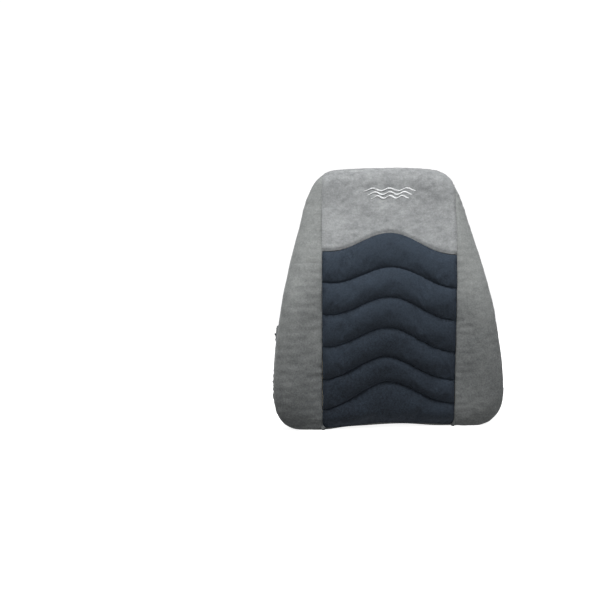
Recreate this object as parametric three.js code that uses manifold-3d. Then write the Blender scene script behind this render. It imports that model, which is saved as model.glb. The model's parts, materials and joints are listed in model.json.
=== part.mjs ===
// Lumbar support cushion for a chair: a moulded foam wedge in a sewn velour cover with a quilted
// centre panel, a zip across the lower back, and a webbing strap that closes behind the chair
// with a side-release buckle. Millimetres, +Z up, the front faces -Y, origin under the middle.
import * as THREE from "three";
import { mergeVertices } from "three/addons/utils/BufferGeometryUtils.js";
import Module from "manifold-3d";

const wasm = await Module();
wasm.setup();

// ---- Driving dimensions -------------------------------------------------------------------

// Outline seen from the front: bottom edge, rounded feet, leaning sides, rounded shoulders.
const width = 400;
const height = 455;
const bottomArch = 6; // how far the middle of the bottom edge is lifted off the seat
const footRun = 50; // the bottom corner's reach along the bottom edge
const footRise = 60; // and up the side
const shoulderHalf = 139; // half width where the shoulder's curve starts
const shoulderDrop = 60; // how far below the top that is
const shoulderLean = 0.277; // sideways part of the side's direction there
const crownHalf = 78; // half width of the nearly straight top edge
const crownDrop = 2.5;
const footFlat = 24; // a flat stretch under each foot
const pointsPerCurve = 5;

// Handles of the outline's curves.
const archPull = 0.4; // of the foot's inner run, level with the arch
const archRest = 0.75; // and at the foot
const cornerPull = 0.4; // of the foot's corner
const sideRise = 110; // above the foot's corner
const sideFall = 77; // below the shoulder
const sideSpread = 80; // and out from it, times shoulderLean
const shoulderRise = 35; // above the shoulder
const shoulderSpread = 36; // and in from it, times shoulderLean
const crownReach = 34; // outside the crown's end
const crownFall = 1.7; // and below it
const crownPull = 25; // along the top edge
const crownTilt = 1;

// Depths, measured forwards from the flat back.
const backY = 35; // the back's place in the part's frame
const boxTop = 10; // depth of the side band at the top
const boxBottom = 64; // and over the lower half
const boxTaperDrop = 25; // the band starts to widen this far below the top
const boxTaperRun = 245;
const frontRise = 26; // the front stands this far proud of the band's seam
const frontLoss = 14; // less this at the bottom edge
const bulgeHeight = 150; // the fullest depth is at this height
const edgeRun = 35; // the front's edge rounds over this distance
const saddleDepth = 14; // the middle is sunk this far between the wings, low down
const saddleTop = 320;
const saddleRun = 150;
const saddleSide = 45; // the wings fall to the seam over this distance
const saddleFoot = 100; // it gets shallower below this height
const saddleFootShare = 0.4; // down to this share of its depth
const backRound = 14; // rounding of the back's side edges
const heelRise = 40; // rounding of the back's bottom edge: upwards
const heelDepth = 24; // and forwards

// Cover, wadding and foam.
const clothThick = 1.2;
const clearance = 0.4; // between a layer and the one under it
const seamGap = 0.3; // between two panels that meet at a seam
const waddingThick = 5;
const stitchWidth = 1.6;
const stitchDepth = 0.5;
const panelHalfBottom = 113.5; // half width of the centre panel
const panelHalfTop = 119;
const panelShiftBottom = -3; // the panel is sewn on a little askew: its middle at the bottom
const panelShiftTop = 10; // and at the top

// Quilting: wavy seams, each with a rounded peak in the middle.
const waveEdges = [303, 247, 192, 137, 84.5, 39]; // each seam's height at the panel's sides
const wavePeaks = [35, 30.5, 34.5, 37.5, 41, 44]; // and how far its peak rises above that
const waveTilts = [5, 7.3, 7.5, 7, 2, -3]; // how far its left end stands above the middle
const waveShifts = [2.5, 5, 2, -1, -6, -2.5]; // how far its peak lies right of the middle
const waveHalf = 112; // half width of the peak
const waveSharpness = 1.15;
const waveSteps = 16;

// The side band's cross seam, which slants up to the back.
const crossFront = 74;
const crossBack = 102;
const crossBend = 1.8;
const crossSteps = 8;

// Zip in the back panel.
const zipHeight = 62;
const zipLength = 290;
const zipMouth = 11; // opening between the two back panels
const tapeWidth = 13; // one tape, from the chain outwards
const tapeThick = 0.8;
const chainGap = 1.2; // between the two rows of coil
const coilWidth = 2.2;
const coilThick = 2.4;
const sliderLength = 11;
const sliderWidth = 9;
const sliderPlate = 1;
const sliderPost = 0.6;
const sliderPlay = 0.3;
const sliderInset = 8; // from the chain's end to the slider's middle at rest
const bailHalf = 4.4; // half the bail's length
const bailRise = 2.6;
const bailBar = 1.4;
const pullLength = 24;
const pullWidth = 6;
const pullThick = 1.2;
const pullPlay = 0.4;
const pullCorner = 1.5; // cut off the tip's corners
const stopLength = 3;
const stopHalf = 3;
const pocketRoom = 2; // round the tapes, in the foam

// Webbing, and where it is sewn into the side seams.
const webWidth = 25;
const webThick = 1.4;
const webClear = 0.3; // between webbing and what it lies on
const webSeamHeight = 170; // its middle where it leaves the seam
const webBackHeight = 152; // and on the back, at the buckle
const webLanding = 95; // length over which it comes down from the buckle to the back
const tailLength = 62; // the loose end past the buckle
const foldLength = 13; // the sewn fold at the socket
const webSlack = 0.1; // more room between two layers of webbing
const landingPull = 0.4; // handles of its way down, as a share of webLanding
const landingStiff = 0.4; // of that handle at the buckle, which the plug holds
const landingSteps = 10;
const tailShares = [1, 0.85, 0.7, 0.55, 0.4, 0.25, 0.1]; // stations along the loose end
const straightShares = [0, 0.35, 0.65, 0.9]; // and from the seam to the socket
const foldShares = [0.35, 0.7, 1]; // and along the fold
const foldHaste = 1.4; // the fold closes up this much sooner than its end
const loopEnd = 190; // degrees round the plug's inner bar
const loopSteps = 8;
const entryGap = 1.2; // the webbing's place on its way to the inner bar
const entryDip = 0.72; // and its depth there, as a share of the loop's radius
const exitGap = 2.2; // the same on its way back
const exitDip = 0.66;
const exitEase = 0.2;
const exitEnd = 2; // before the outer bar
const landingFlat = 6; // where it has landed
const landingJoin = 2; // and reaches into what lies flat

// Side-release buckle, in its own frame: x along the webbing from the socket to the plug,
// y away from the cushion, z across the webbing, the origin in the socket's mouth.
const buckleTurn = 15; // degrees from the back's plane
const buckleRoll = 8; // degrees, the upper edge leaning out
const buckleClear = 1; // from the cushion's rounded edge
const buckleShift = 20; // from the edge's touching point to the mouth
const buckleThick = 8.6;
const buckleWidth = 33;
const buckleWall = 1.8;
const socketDepth = 19.5;
const barRadius = 1.7;
const barSides = 12;
const slotGap = 3.7;
const slotSpan = 26.6; // across the webbing
const railThick = 4.6;
const windowStart = 7; // the side windows, measured into the socket
const windowEnd = 16.5;
const plugWidth = 32;
const plugThick = 7.6;
const plugFront = 5;
const plugPlay = 0.35;
const tongueWidth = 6;
const tongueLength = 14;
const prongRoot = 10.5; // the prong's hinge, from the middle
const prongLength = 16;
const prongPlay = 1; // between a prong and the socket's walls
const prongThick = buckleThick - 2 * buckleWall - 2 * prongPlay;
const prongWidth = 3; // of its arm
const prongHead = 17.2; // how far out its head reaches
const prongHeadLength = 7.5;
const prongFlat = 3; // of its outermost part
const prongLean = 0.3; // of its catching face

// ---- Small helpers ------------------------------------------------------------------------

const X = new THREE.Vector3(1, 0, 0);
const Y = new THREE.Vector3(0, 1, 0);
const Z = new THREE.Vector3(0, 0, 1);
const far = 1000; // past every face
const weldDistance = 1e-4;
const margin = 20; // how far a region reaches past the cushion
const overlap = 1; // how far joined shapes reach into each other

const mix = (a, b, t) => a + (b - a) * t;
const clamp01 = (t) => Math.min(1, Math.max(0, t));
const smooth = (t) => clamp01(t) ** 2 * (3 - 2 * clamp01(t));

// A closed geometry as a solid that can be cut and joined.
function solidOf(geometry) {
  const bare = new THREE.BufferGeometry();
  bare.setAttribute("position", geometry.getAttribute("position"));
  bare.setIndex(geometry.index);
  const merged = mergeVertices(bare, 1e-4);
  return new wasm.Manifold(
    new wasm.Mesh({
      numProp: 3,
      vertProperties: merged.attributes.position.array,
      triVerts: new Uint32Array(merged.index.array),
    }),
  );
}

function geometryOf(solid) {
  const mesh = solid.getMesh();
  return new THREE.BufferGeometry()
    .setAttribute("position", new THREE.BufferAttribute(new Float32Array(mesh.vertProperties), 3))
    .setIndex(new THREE.BufferAttribute(new Uint32Array(mesh.triVerts), 1));
}

// A prism whose outline lies across `along`: "y" takes [x, z] points, "x" takes [y, z] points
// and "z" takes [x, y] points.
function prism(points, along, low = -far, high = far) {
  const shape = new THREE.Shape(points.map(([a, b]) => new THREE.Vector2(a, b)));
  const geometry = new THREE.ExtrudeGeometry(shape, { depth: high - low, bevelEnabled: false });
  const turn = new THREE.Matrix4();
  if (along === "y") turn.makeBasis(X, Z, Y.clone().negate()).setPosition(0, high, 0);
  if (along === "x") turn.makeBasis(Y, Z, X).setPosition(low, 0, 0);
  if (along === "z") turn.setPosition(0, 0, low);
  return solidOf(geometry.applyMatrix4(turn));
}

// A block from its lowest corner to its highest.
function block(low, high) {
  const [w, d, h] = high.map((v, i) => v - low[i]);
  const geometry = new THREE.BoxGeometry(w, d, h);
  return solidOf(geometry.translate(low[0] + w / 2, low[1] + d / 2, low[2] + h / 2));
}

const joined = (solids) => solids.reduce((all, next) => all.add(next));

// ---- The cushion's shape ------------------------------------------------------------------

// The outline, anticlockwise from the middle of the bottom edge.
function outlinePoints() {
  const half = width / 2;
  const shoulder = height - shoulderDrop;
  const crown = height - crownDrop;
  const shape = new THREE.Shape();
  shape.moveTo(0, bottomArch);
  const footInner = half - footRun - footFlat;
  shape.bezierCurveTo(footInner * archPull, bottomArch, footInner * archRest, 0, footInner, 0);
  shape.lineTo(half - footRun, 0);
  shape.bezierCurveTo(half - cornerPull * footRun, 0, half, cornerPull * footRise, half, footRise);
  shape.bezierCurveTo(
    half,
    footRise + sideRise,
    shoulderHalf + sideSpread * shoulderLean,
    shoulder - sideFall,
    shoulderHalf,
    shoulder,
  );
  shape.bezierCurveTo(
    shoulderHalf - shoulderSpread * shoulderLean,
    shoulder + shoulderRise,
    crownHalf + crownReach,
    crown - crownFall,
    crownHalf,
    crown,
  );
  shape.bezierCurveTo(crownHalf - crownPull, height - crownTilt, crownPull, height, 0, height);
  const right = shape.getPoints(pointsPerCurve);
  const left = right
    .slice(1, -1)
    .reverse()
    .map((p) => new THREE.Vector2(-p.x, p.y));
  return [...right, ...left];
}

const outline = outlinePoints();

// Each outline point's direction into the cushion.
const inwards = outline.map((p, i) => {
  const next = outline[(i + 1) % outline.length];
  const last = outline[(i + outline.length - 1) % outline.length];
  const run = next.clone().sub(last).normalize();
  return new THREE.Vector2(-run.y, run.x);
});

function distanceToOutline(x, z) {
  const q = new THREE.Vector2(x, z);
  let nearest = Infinity;
  outline.forEach((a, i) => {
    const b = outline[(i + 1) % outline.length];
    const run = b.clone().sub(a);
    const t = clamp01(q.clone().sub(a).dot(run) / run.lengthSq());
    nearest = Math.min(nearest, q.distanceTo(a.clone().addScaledVector(run, t)));
  });
  return nearest;
}

// Half the outline's width at a height above the feet.
function outlineHalf(z) {
  const i = outline.findIndex((p) => p.y >= z && p.y > bottomArch);
  const [a, b] = [outline[i - 1], outline[i]];
  return mix(a.x, b.x, (z - a.y) / (b.y - a.y));
}

// Depth of the seam between the side band and the front, at a height.
function bandDepth(z) {
  return mix(boxTop, boxBottom, smooth((height - boxTaperDrop - z) / boxTaperRun));
}

// Half width of the centre panel at a height, and where its middle is.
const panelHalf = (z) => mix(panelHalfBottom, panelHalfTop, clamp01(z / height));
const panelMiddle = (z) => mix(panelShiftBottom, panelShiftTop, clamp01(z / height));

// Depth of the front over a point of the outline's plane.
function frontDepth(x, z) {
  const inset = Math.min(distanceToOutline(x, z), edgeRun);
  const edge = Math.sqrt(1 - (1 - inset / edgeRun) ** 2);
  const rise = frontRise - frontLoss * clamp01((bulgeHeight - z) / bulgeHeight) ** 2;
  const sunk = smooth((panelHalf(z) + saddleSide - Math.abs(x - panelMiddle(z))) / saddleSide);
  const foot = mix(saddleFootShare, 1, smooth(z / saddleFoot));
  const saddle = saddleDepth * sunk * foot * smooth((saddleTop - z) / saddleRun);
  return bandDepth(z) + (rise - saddle) * edge;
}

// How the back's edge rounds at an outline point: [distance in the outline's plane, depth].
function backRounding(i) {
  const side = Math.min(backRound, bandDepth(outline[i].y) / 2);
  const down = Math.max(0, inwards[i].y) ** 2 * (outline[i].y < height / 2 ? 1 : 0);
  return [mix(side, heelRise, down), mix(side, heelDepth, down)];
}

const insetPoint = (i, inset) => outline[i].clone().addScaledVector(inwards[i], inset);
const backEdge = outline.map((p, i) => insetPoint(i, backRounding(i)[0]));

// Where the rings lie: shares of the way out from the middle, and degrees round each edge.
const backShares = [0, 0.5];
const backTurns = [0, 45, 90];
const frontTurns = [25, 52, 90];
const frontShares = [0.84, 0.66, 0.4, 0];

// The whole outside as closed rings, from the middle of the back round to the middle of the front.
function outsideGeometry() {
  const middle = new THREE.Vector2(0, height / 2);
  const rings = [];
  const ring = (place) => rings.push(outline.map((p, i) => place(i)));
  const onBack = (p) => new THREE.Vector3(p.x, backY, p.y);
  for (const share of backShares) ring((i) => onBack(middle.clone().lerp(backEdge[i], share)));
  for (const turn of backTurns) {
    const a = THREE.MathUtils.degToRad(turn);
    ring((i) => {
      const [run, depth] = backRounding(i);
      const p = insetPoint(i, run * (1 - Math.sin(a)));
      return new THREE.Vector3(p.x, backY - depth * (1 - Math.cos(a)), p.y);
    });
  }
  ring((i) => new THREE.Vector3(outline[i].x, backY - bandDepth(outline[i].y), outline[i].y));
  const onFront = (p) => new THREE.Vector3(p.x, backY - frontDepth(p.x, p.y), p.y);
  for (const turn of frontTurns) {
    const inset = edgeRun * (1 - Math.cos(THREE.MathUtils.degToRad(turn)));
    ring((i) => onFront(insetPoint(i, inset)));
  }
  for (const share of frontShares) {
    ring((i) => onFront(middle.clone().lerp(insetPoint(i, edgeRun), share)));
  }
  const count = outline.length;
  const positions = rings.flat().flatMap((p) => p.toArray());
  const faces = [];
  for (let r = 0; r + 1 < rings.length; r++) {
    for (let i = 0; i < count; i++) {
      const [a, b] = [r * count + i, r * count + ((i + 1) % count)];
      if (r > 0) faces.push(a, b, a + count);
      if (r + 2 < rings.length) faces.push(b, b + count, a + count);
    }
  }
  const geometry = new THREE.BufferGeometry();
  geometry.setAttribute("position", new THREE.Float32BufferAttribute(positions, 3));
  geometry.setIndex(faces);
  const closed = mergeVertices(geometry, weldDistance);
  closed.computeVertexNormals();
  return closed;
}

const outside = outsideGeometry();

// The same body, smaller by `inset` all round.
function bodyInset(inset) {
  const geometry = outside.clone();
  const position = geometry.getAttribute("position");
  const normal = geometry.getAttribute("normal");
  for (let i = 0; i < position.count; i++) {
    const p = new THREE.Vector3().fromBufferAttribute(position, i);
    p.addScaledVector(new THREE.Vector3().fromBufferAttribute(normal, i), -inset);
    position.setXYZ(i, p.x, p.y, p.z);
  }
  geometry.deleteAttribute("normal");
  return solidOf(geometry);
}

// ---- Seam lines and the regions between them ----------------------------------------------

const heightSteps = 40;
const heights = Array.from({ length: heightSteps + 1 }, (_, i) =>
  mix(-margin, height + margin, i / heightSteps),
);

// Everything in front of the side band's front seam, moved forwards by `shift`.
function frontRegion(shift) {
  const line = heights.map((z) => [backY - bandDepth(z) - shift, z]);
  return prism([[-far, -margin], ...line, [-far, height + margin]], "x");
}

// Height of quilting seam n, counted from the top, at x.
function waveHeight(n, x) {
  const aside = x - panelMiddle(waveEdges[n]);
  const reach = clamp01(Math.abs(aside - waveShifts[n]) / waveHalf);
  const bump = 0.5 + 0.5 * Math.cos(Math.PI * reach);
  const tilt = (waveTilts[n] * aside) / panelHalfBottom;
  return waveEdges[n] + wavePeaks[n] * bump ** waveSharpness - tilt;
}

const waveReach = panelHalfTop + margin;

function wavePoints(n, rise) {
  const step = (i) => mix(-waveReach, waveReach, i / waveSteps);
  return Array.from({ length: waveSteps + 1 }, (_, i) => [step(i), waveHeight(n, step(i)) + rise]);
}

// The centre panel's strip, narrower by `inset` on both sides, from front to back.
function centreStrip(inset) {
  const [low, high] = [panelHalf(0) - inset, panelHalf(height) - inset];
  const [under, over] = [-margin, height + margin];
  return prism(
    [
      [panelShiftBottom - low, under],
      [panelShiftBottom + low, under],
      [panelShiftBottom + low, 0],
      [panelShiftTop + high, height],
      [panelShiftTop + high, over],
      [panelShiftTop - high, over],
      [panelShiftTop - high, height],
      [panelShiftBottom - low, 0],
    ],
    "y",
    -far,
    backY - boxTop / 2,
  );
}

function belowWave(n, rise) {
  const line = wavePoints(n, rise);
  return prism([[-waveReach, -margin], [waveReach, -margin], ...line.reverse()], "y");
}

// A narrow band along quilting seam n.
function stitchLine(n) {
  const upper = wavePoints(n, stitchWidth / 2);
  const lower = wavePoints(n, -stitchWidth / 2);
  return prism([...lower, ...upper.reverse()], "y", -far, backY - boxTop / 2);
}

// Everything below the side band's slanting cross seam.
function belowCrossSeam(rise) {
  const steps = Array.from({ length: crossSteps + 1 }, (_, i) => i / crossSteps);
  const line = steps.map((t) => [
    backY - mix(boxBottom, 0, t),
    mix(crossFront, crossBack, t ** crossBend) + rise,
  ]);
  const start = [-far, crossFront + rise];
  const end = [far, crossBack + rise];
  return prism([[-far, -margin], start, ...line, end, [far, -margin]].reverse(), "x");
}

// ---- Cover, wadding and foam --------------------------------------------------------------

const shell = bodyInset(0).subtract(bodyInset(clothThick));
const front = shell.intersect(frontRegion(seamGap));
const behind = shell.subtract(frontRegion(0));
const halfSeam = seamGap / 2;
const leftHalf = block([-far, -far, -far], [0, far, far]);

// The panel under the zip's mouth and beyond its ends, then what is above it.
function backRegion(grow) {
  return prism(
    backEdge.map((p, i) => {
      const q = p.clone().addScaledVector(inwards[i], -grow);
      return [q.x, q.y];
    }),
    "y",
  );
}

function zipOpening(side) {
  const mouth = side * (zipMouth / 2);
  const seam = side * halfSeam;
  const half = zipLength / 2 + stopLength + 2 * seamGap;
  const line = [
    [-far, zipHeight + seam],
    [-half, zipHeight + seam],
    [-half, zipHeight + mouth],
    [half, zipHeight + mouth],
    [half, zipHeight + seam],
    [far, zipHeight + seam],
  ];
  const edge = side * far;
  const region = [...line, [far, edge], [-far, edge]];
  return prism(side > 0 ? region : region.reverse(), "y");
}

function coverPieces() {
  const centre = front.intersect(centreStrip(halfSeam));
  const wings = front.subtract(centreStrip(-halfSeam));
  const quiltPlain = centre.intersect(belowWave(0, -halfSeam));
  const stitches = joined(waveEdges.slice(1).map((_, n) => stitchLine(n + 1)));
  const score = stitches.subtract(bodyInset(stitchDepth));
  const back = behind.intersect(backRegion(-halfSeam));
  const band = behind.subtract(backRegion(halfSeam));
  return {
    bolster_panel_left: wings.intersect(leftHalf),
    bolster_panel_right: wings.subtract(leftHalf),
    top_panel: centre.subtract(belowWave(0, halfSeam)),
    quilt_face: quiltPlain.subtract(score),
    side_band_main: band.subtract(belowCrossSeam(halfSeam)),
    side_band_bottom: band.intersect(belowCrossSeam(-halfSeam)),
    back_panel_upper: back.intersect(zipOpening(1)),
    back_panel_lower: back.intersect(zipOpening(-1)),
  };
}

// The wadding lies under the quilted cloth, in a shallow pocket of the foam. A second pocket
// takes the zip's chain and slider.
function paddingPieces() {
  const under = clothThick + clearance;
  const floor = under + waddingThick;
  const edge = seamGap + clothThick;
  const region = centreStrip(edge).intersect(belowWave(0, -edge)).intersect(frontRegion(edge));
  const wadding = region.intersect(bodyInset(under)).subtract(bodyInset(floor));
  const pocketRegion = centreStrip(clearance)
    .intersect(belowWave(0, -clearance))
    .intersect(frontRegion(clearance));
  const pocket = pocketRegion.subtract(bodyInset(floor + clearance));
  const reach = zipLength / 2 + 2 * stopLength;
  const zipPocket = block(
    [-reach, backY - under - coilThick - sliderPlate - 2 * clearance, zipHeight - tapeWidth - pocketRoom],
    [reach, far, zipHeight + tapeWidth + pocketRoom],
  );
  return {
    quilt_wadding: wadding,
    foam_core: bodyInset(under).subtract(pocket).subtract(zipPocket),
  };
}

// ---- Zip ----------------------------------------------------------------------------------

// The chain's middle lies under the back panels, with the coil standing out between them.
const tapeY = backY - clothThick - clearance - tapeThick / 2;
const sliderX = zipLength / 2 - sliderInset;

function zipHalf(side) {
  const inner = chainGap / 2;
  const rows = [
    block(
      [-zipLength / 2, tapeY - tapeThick / 2, inner],
      [zipLength / 2, tapeY + tapeThick / 2, tapeWidth],
    ),
    block(
      [-zipLength / 2, tapeY - coilThick / 2, inner],
      [zipLength / 2, tapeY + coilThick / 2, inner + coilWidth],
    ),
  ];
  return side > 0 ? joined(rows) : joined(rows).mirror([0, 0, 1]);
}

// A stop is a clip across both rows, at one end of the chain.
function zipStop(side) {
  const start = zipLength / 2 + seamGap;
  const [low, high] = [tapeY - coilThick / 2, tapeY + coilThick / 2];
  const clip = block([start, low, -stopHalf], [start + stopLength, high, stopHalf]);
  return side > 0 ? clip : clip.mirror([1, 0, 0]);
}

// Where the pull turns: between the slider's upper plate and the bail.
const plateInner = coilThick / 2 + sliderPlay;
const plateOuter = plateInner + sliderPlate;
const pullY = tapeY + plateOuter + (bailRise - bailBar / 2) / 2;

// Two plates with turned-in lips that hold the rows, a post between the rows and a bail on top.
function zipSlider() {
  const [l, w] = [sliderLength / 2, sliderWidth / 2];
  const lip = tapeThick / 2 + sliderPlay;
  const upper = joined([
    block([-l, plateInner, -w], [l, plateOuter, w]),
    block([-l, lip, w - sliderPlate], [l, plateOuter, w]),
    block([-l, lip, -w], [l, plateOuter, sliderPlate - w]),
  ]);
  const post = block([-l, -plateOuter, -sliderPost / 2], [sliderPost - l, plateOuter, sliderPost / 2]);
  const top = plateOuter + bailRise + bailBar / 2;
  const leg = block([bailHalf - bailBar, plateInner, -bailBar / 2], [bailHalf, top, bailBar / 2]);
  const bar = block([-bailHalf, top - bailBar, -bailBar / 2], [bailHalf, top, bailBar / 2]);
  return joined([upper, upper.mirror([0, 1, 0]), post, leg, leg.mirror([1, 0, 0]), bar]);
}

// A flat pull with a window at its hinge end that the bail passes through.
function zipPull() {
  const half = pullThick / 2;
  const reach = Math.hypot(bailHalf, bailRise) + pullPlay;
  const plate = block([-pullLength, -half, -pullWidth / 2], [half, half, pullWidth / 2]);
  const window = block([-reach, -far, -bailBar / 2 - pullPlay], [-half, far, bailBar / 2 + pullPlay]);
  const tip = pullWidth / 2;
  const cut = pullCorner + overlap;
  const corner = prism(
    [
      [-pullLength - overlap, tip - cut],
      [cut - pullLength, tip + overlap],
      [-pullLength - overlap, tip + overlap],
    ],
    "y",
  );
  return plate.subtract(window).subtract(corner).subtract(corner.mirror([0, 0, 1]));
}

// ---- Buckle -------------------------------------------------------------------------------

// The buckle rests on the rounded edge where the back meets the left side.
function buckleFrame() {
  const [turn, roll] = [buckleTurn, buckleRoll].map(THREE.MathUtils.degToRad);
  const low = webBackHeight - buckleWidth / 2;
  const edge = new THREE.Vector3(backRound - outlineHalf(low), backY - backRound, webBackHeight);
  const along = X.clone().applyAxisAngle(Z, turn);
  const out = Y.clone().applyAxisAngle(Z, turn);
  const reach = (buckleThick / 2) * Math.cos(roll) + (buckleWidth / 2) * Math.sin(roll);
  const mouth = edge
    .addScaledVector(out, backRound + buckleClear + reach)
    .addScaledVector(along, buckleShift);
  const across = Z.clone().applyAxisAngle(along, -roll);
  return new THREE.Matrix4().makeBasis(along, across.clone().cross(along), across).setPosition(mouth);
}

const buckleMatrix = buckleFrame();
const inBuckle = (x, y) => new THREE.Vector3(x, y, 0).applyMatrix4(buckleMatrix);
const buckleAxis = (n) => new THREE.Vector3().setFromMatrixColumn(buckleMatrix, n);

// A bar across the webbing, between the two rails.
function bar(x) {
  const round = new THREE.CylinderGeometry(barRadius, barRadius, slotSpan + overlap, barSides);
  return solidOf(round.rotateX(Math.PI / 2).translate(x, 0, 0));
}

const rails = (low, high, span) =>
  [-1, 1].map((side) => {
    const z = [side * (slotSpan / 2), side * (span / 2)].sort((a, b) => a - b);
    return block([low, -railThick / 2, z[0]], [high, railThick / 2, z[1]]);
  });

const socketBack = -socketDepth - buckleWall;
const socketBar = socketBack - slotGap - barRadius;

function buckleSocket() {
  const [t, w] = [buckleThick / 2, buckleWidth / 2];
  const body = block([socketBack, -t, -w], [0, t, w]);
  const inside = block([-socketDepth, buckleWall - t, buckleWall - w], [far, t - buckleWall, w - buckleWall]);
  const windows = block([-windowEnd, buckleWall - t, -far], [-windowStart, t - buckleWall, far]);
  const loop = [...rails(socketBar - barRadius, socketBack + overlap, buckleWidth), bar(socketBar)];
  return joined([body.subtract(inside).subtract(windows), ...loop]);
}

const innerBar = plugPlay + plugFront + slotGap + barRadius;
const outerBar = innerBar + slotGap + 2 * barRadius;

function bucklePlug() {
  const [t, w] = [plugThick / 2, plugWidth / 2];
  const head = block([plugPlay, -t, -w], [plugPlay + plugFront, t, w]);
  const reach = buckleThick / 2 - buckleWall - plugPlay;
  const tongue = block(
    [-tongueLength, -reach, -tongueWidth / 2],
    [plugPlay + overlap, reach, tongueWidth / 2],
  );
  const frame = rails(plugPlay + overlap, outerBar + barRadius, plugWidth);
  return joined([head, tongue, ...frame, bar(innerBar), bar(outerBar)]);
}

// The upper prong: an arm that springs in, with a head that catches in the socket's window.
function buckleProng() {
  const inner = prongRoot - prongWidth / 2;
  const outer = prongRoot + prongWidth / 2;
  const head = -prongLength + prongHeadLength;
  return prism(
    [
      [-plugPlay, inner],
      [-plugPlay, outer],
      [head, outer],
      [head - prongLean, prongHead],
      [head - prongFlat, prongHead],
      [-prongLength, outer],
      [-prongLength, inner],
    ],
    "y",
    -prongThick / 2,
    prongThick / 2,
  );
}

// ---- Webbing ------------------------------------------------------------------------------

// A strip through stations, each with its middle and its direction across the webbing.
function ribbon(stations) {
  const place = ({ middle, across }, i) => {
    const next = stations[Math.min(i + 1, stations.length - 1)].middle;
    const last = stations[Math.max(i - 1, 0)].middle;
    const normal = across.clone().cross(next.clone().sub(last)).normalize();
    const corner = ([n, w]) =>
      middle
        .clone()
        .addScaledVector(normal, (n * webThick) / 2)
        .addScaledVector(across, (w * webWidth) / 2);
    return [[-1, -1], [1, -1], [1, 1], [-1, 1]].map(corner);
  };
  const positions = stations.map(place).flat().flatMap((p) => p.toArray());
  const faces = [0, 2, 1, 0, 3, 2];
  const end = 4 * (stations.length - 1);
  for (let a = 0; a < end; a++) {
    const b = a % 4 === 3 ? a - 3 : a + 1;
    faces.push(a, b, b + 4, a, b + 4, a + 4);
  }
  faces.push(end, end + 1, end + 2, end, end + 2, end + 3);
  const geometry = new THREE.BufferGeometry();
  geometry.setAttribute("position", new THREE.Float32BufferAttribute(positions, 3));
  return solidOf(geometry.setIndex(faces));
}

const layer = webClear + webThick / 2; // a layer's middle above what it lies on
const loopRadius = barRadius + layer;
const nextLayer = webThick + webClear + webSlack; // from one layer's middle to the next
const arc = (from, to, steps) =>
  Array.from({ length: steps + 1 }, (_, i) => THREE.MathUtils.degToRad(mix(from, to, i / steps)));

// The long strap's path over the back, from under the plug down to the cushion, and its loose
// end above it.
function landing() {
  const start = inBuckle(outerBar + barRadius, -loopRadius - nextLayer);
  const end = new THREE.Vector3(start.x + webLanding, backY + layer, webBackHeight);
  const pull = webLanding * landingPull;
  return new THREE.CubicBezierCurve3(
    start,
    start.clone().addScaledVector(buckleAxis(0), pull * landingStiff),
    end.clone().addScaledVector(X, -pull),
    end,
  );
}

const backPath = landing();

function landingStation(t, lift) {
  const across = buckleAxis(2).lerp(Z, smooth(t)).normalize();
  const out = across.clone().cross(backPath.getTangentAt(t)).normalize();
  return { middle: backPath.getPointAt(t).addScaledVector(out, lift), across };
}

// What lies flat on the cushion: across the back, round the right edge and up to the seam.
function strapOnCushion() {
  const layerSolid = bodyInset(-webClear - webThick).subtract(bodyInset(-webClear));
  const seamY = backY - bandDepth(webSeamHeight);
  const flatY = backY - backRound;
  const slope = Math.atan2(webSeamHeight - webBackHeight, flatY - seamY);
  const half = webWidth / 2 / Math.cos(slope);
  const band = (rise) => [
    [-far, webSeamHeight + (webSeamHeight - webBackHeight) * ((far + seamY) / (flatY - seamY)) + rise],
    [flatY, webBackHeight + rise],
  ];
  const region = prism(
    [
      ...band(-half),
      [far, webBackHeight - webWidth / 2],
      [far, webBackHeight + webWidth / 2],
      ...band(half).reverse(),
    ],
    "x",
    backPath.v3.x - landingJoin,
    far,
  );
  return layerSolid.intersect(region).subtract(frontRegion(-seamGap));
}

function strapLong() {
  const across = buckleAxis(2);
  const inPlug = (x, y) => ({ middle: inBuckle(x, y), across });
  const tail = tailShares.map((t) =>
    landingStation((t * tailLength) / backPath.getLength(), nextLayer),
  );
  const under = [
    inPlug(outerBar, -loopRadius),
    inPlug(innerBar + loopRadius + entryGap, -loopRadius * entryDip),
  ];
  const over = arc(0, loopEnd, loopSteps).map((a) =>
    inPlug(innerBar + loopRadius * Math.cos(a), loopRadius * Math.sin(a)),
  );
  const low = -loopRadius - nextLayer;
  const back = [
    inPlug(innerBar - exitGap, low * exitDip),
    inPlug(innerBar - exitEase, low),
    inPlug(outerBar - exitEnd, low),
  ];
  const down = Array.from({ length: landingSteps + 1 }, (_, i) => landingStation(i / landingSteps, 0));
  const flat = { middle: backPath.v3.clone().addScaledVector(X, landingFlat), across: Z };
  return ribbon([...tail, ...under, ...over, ...back, ...down, flat]).add(strapOnCushion());
}

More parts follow.
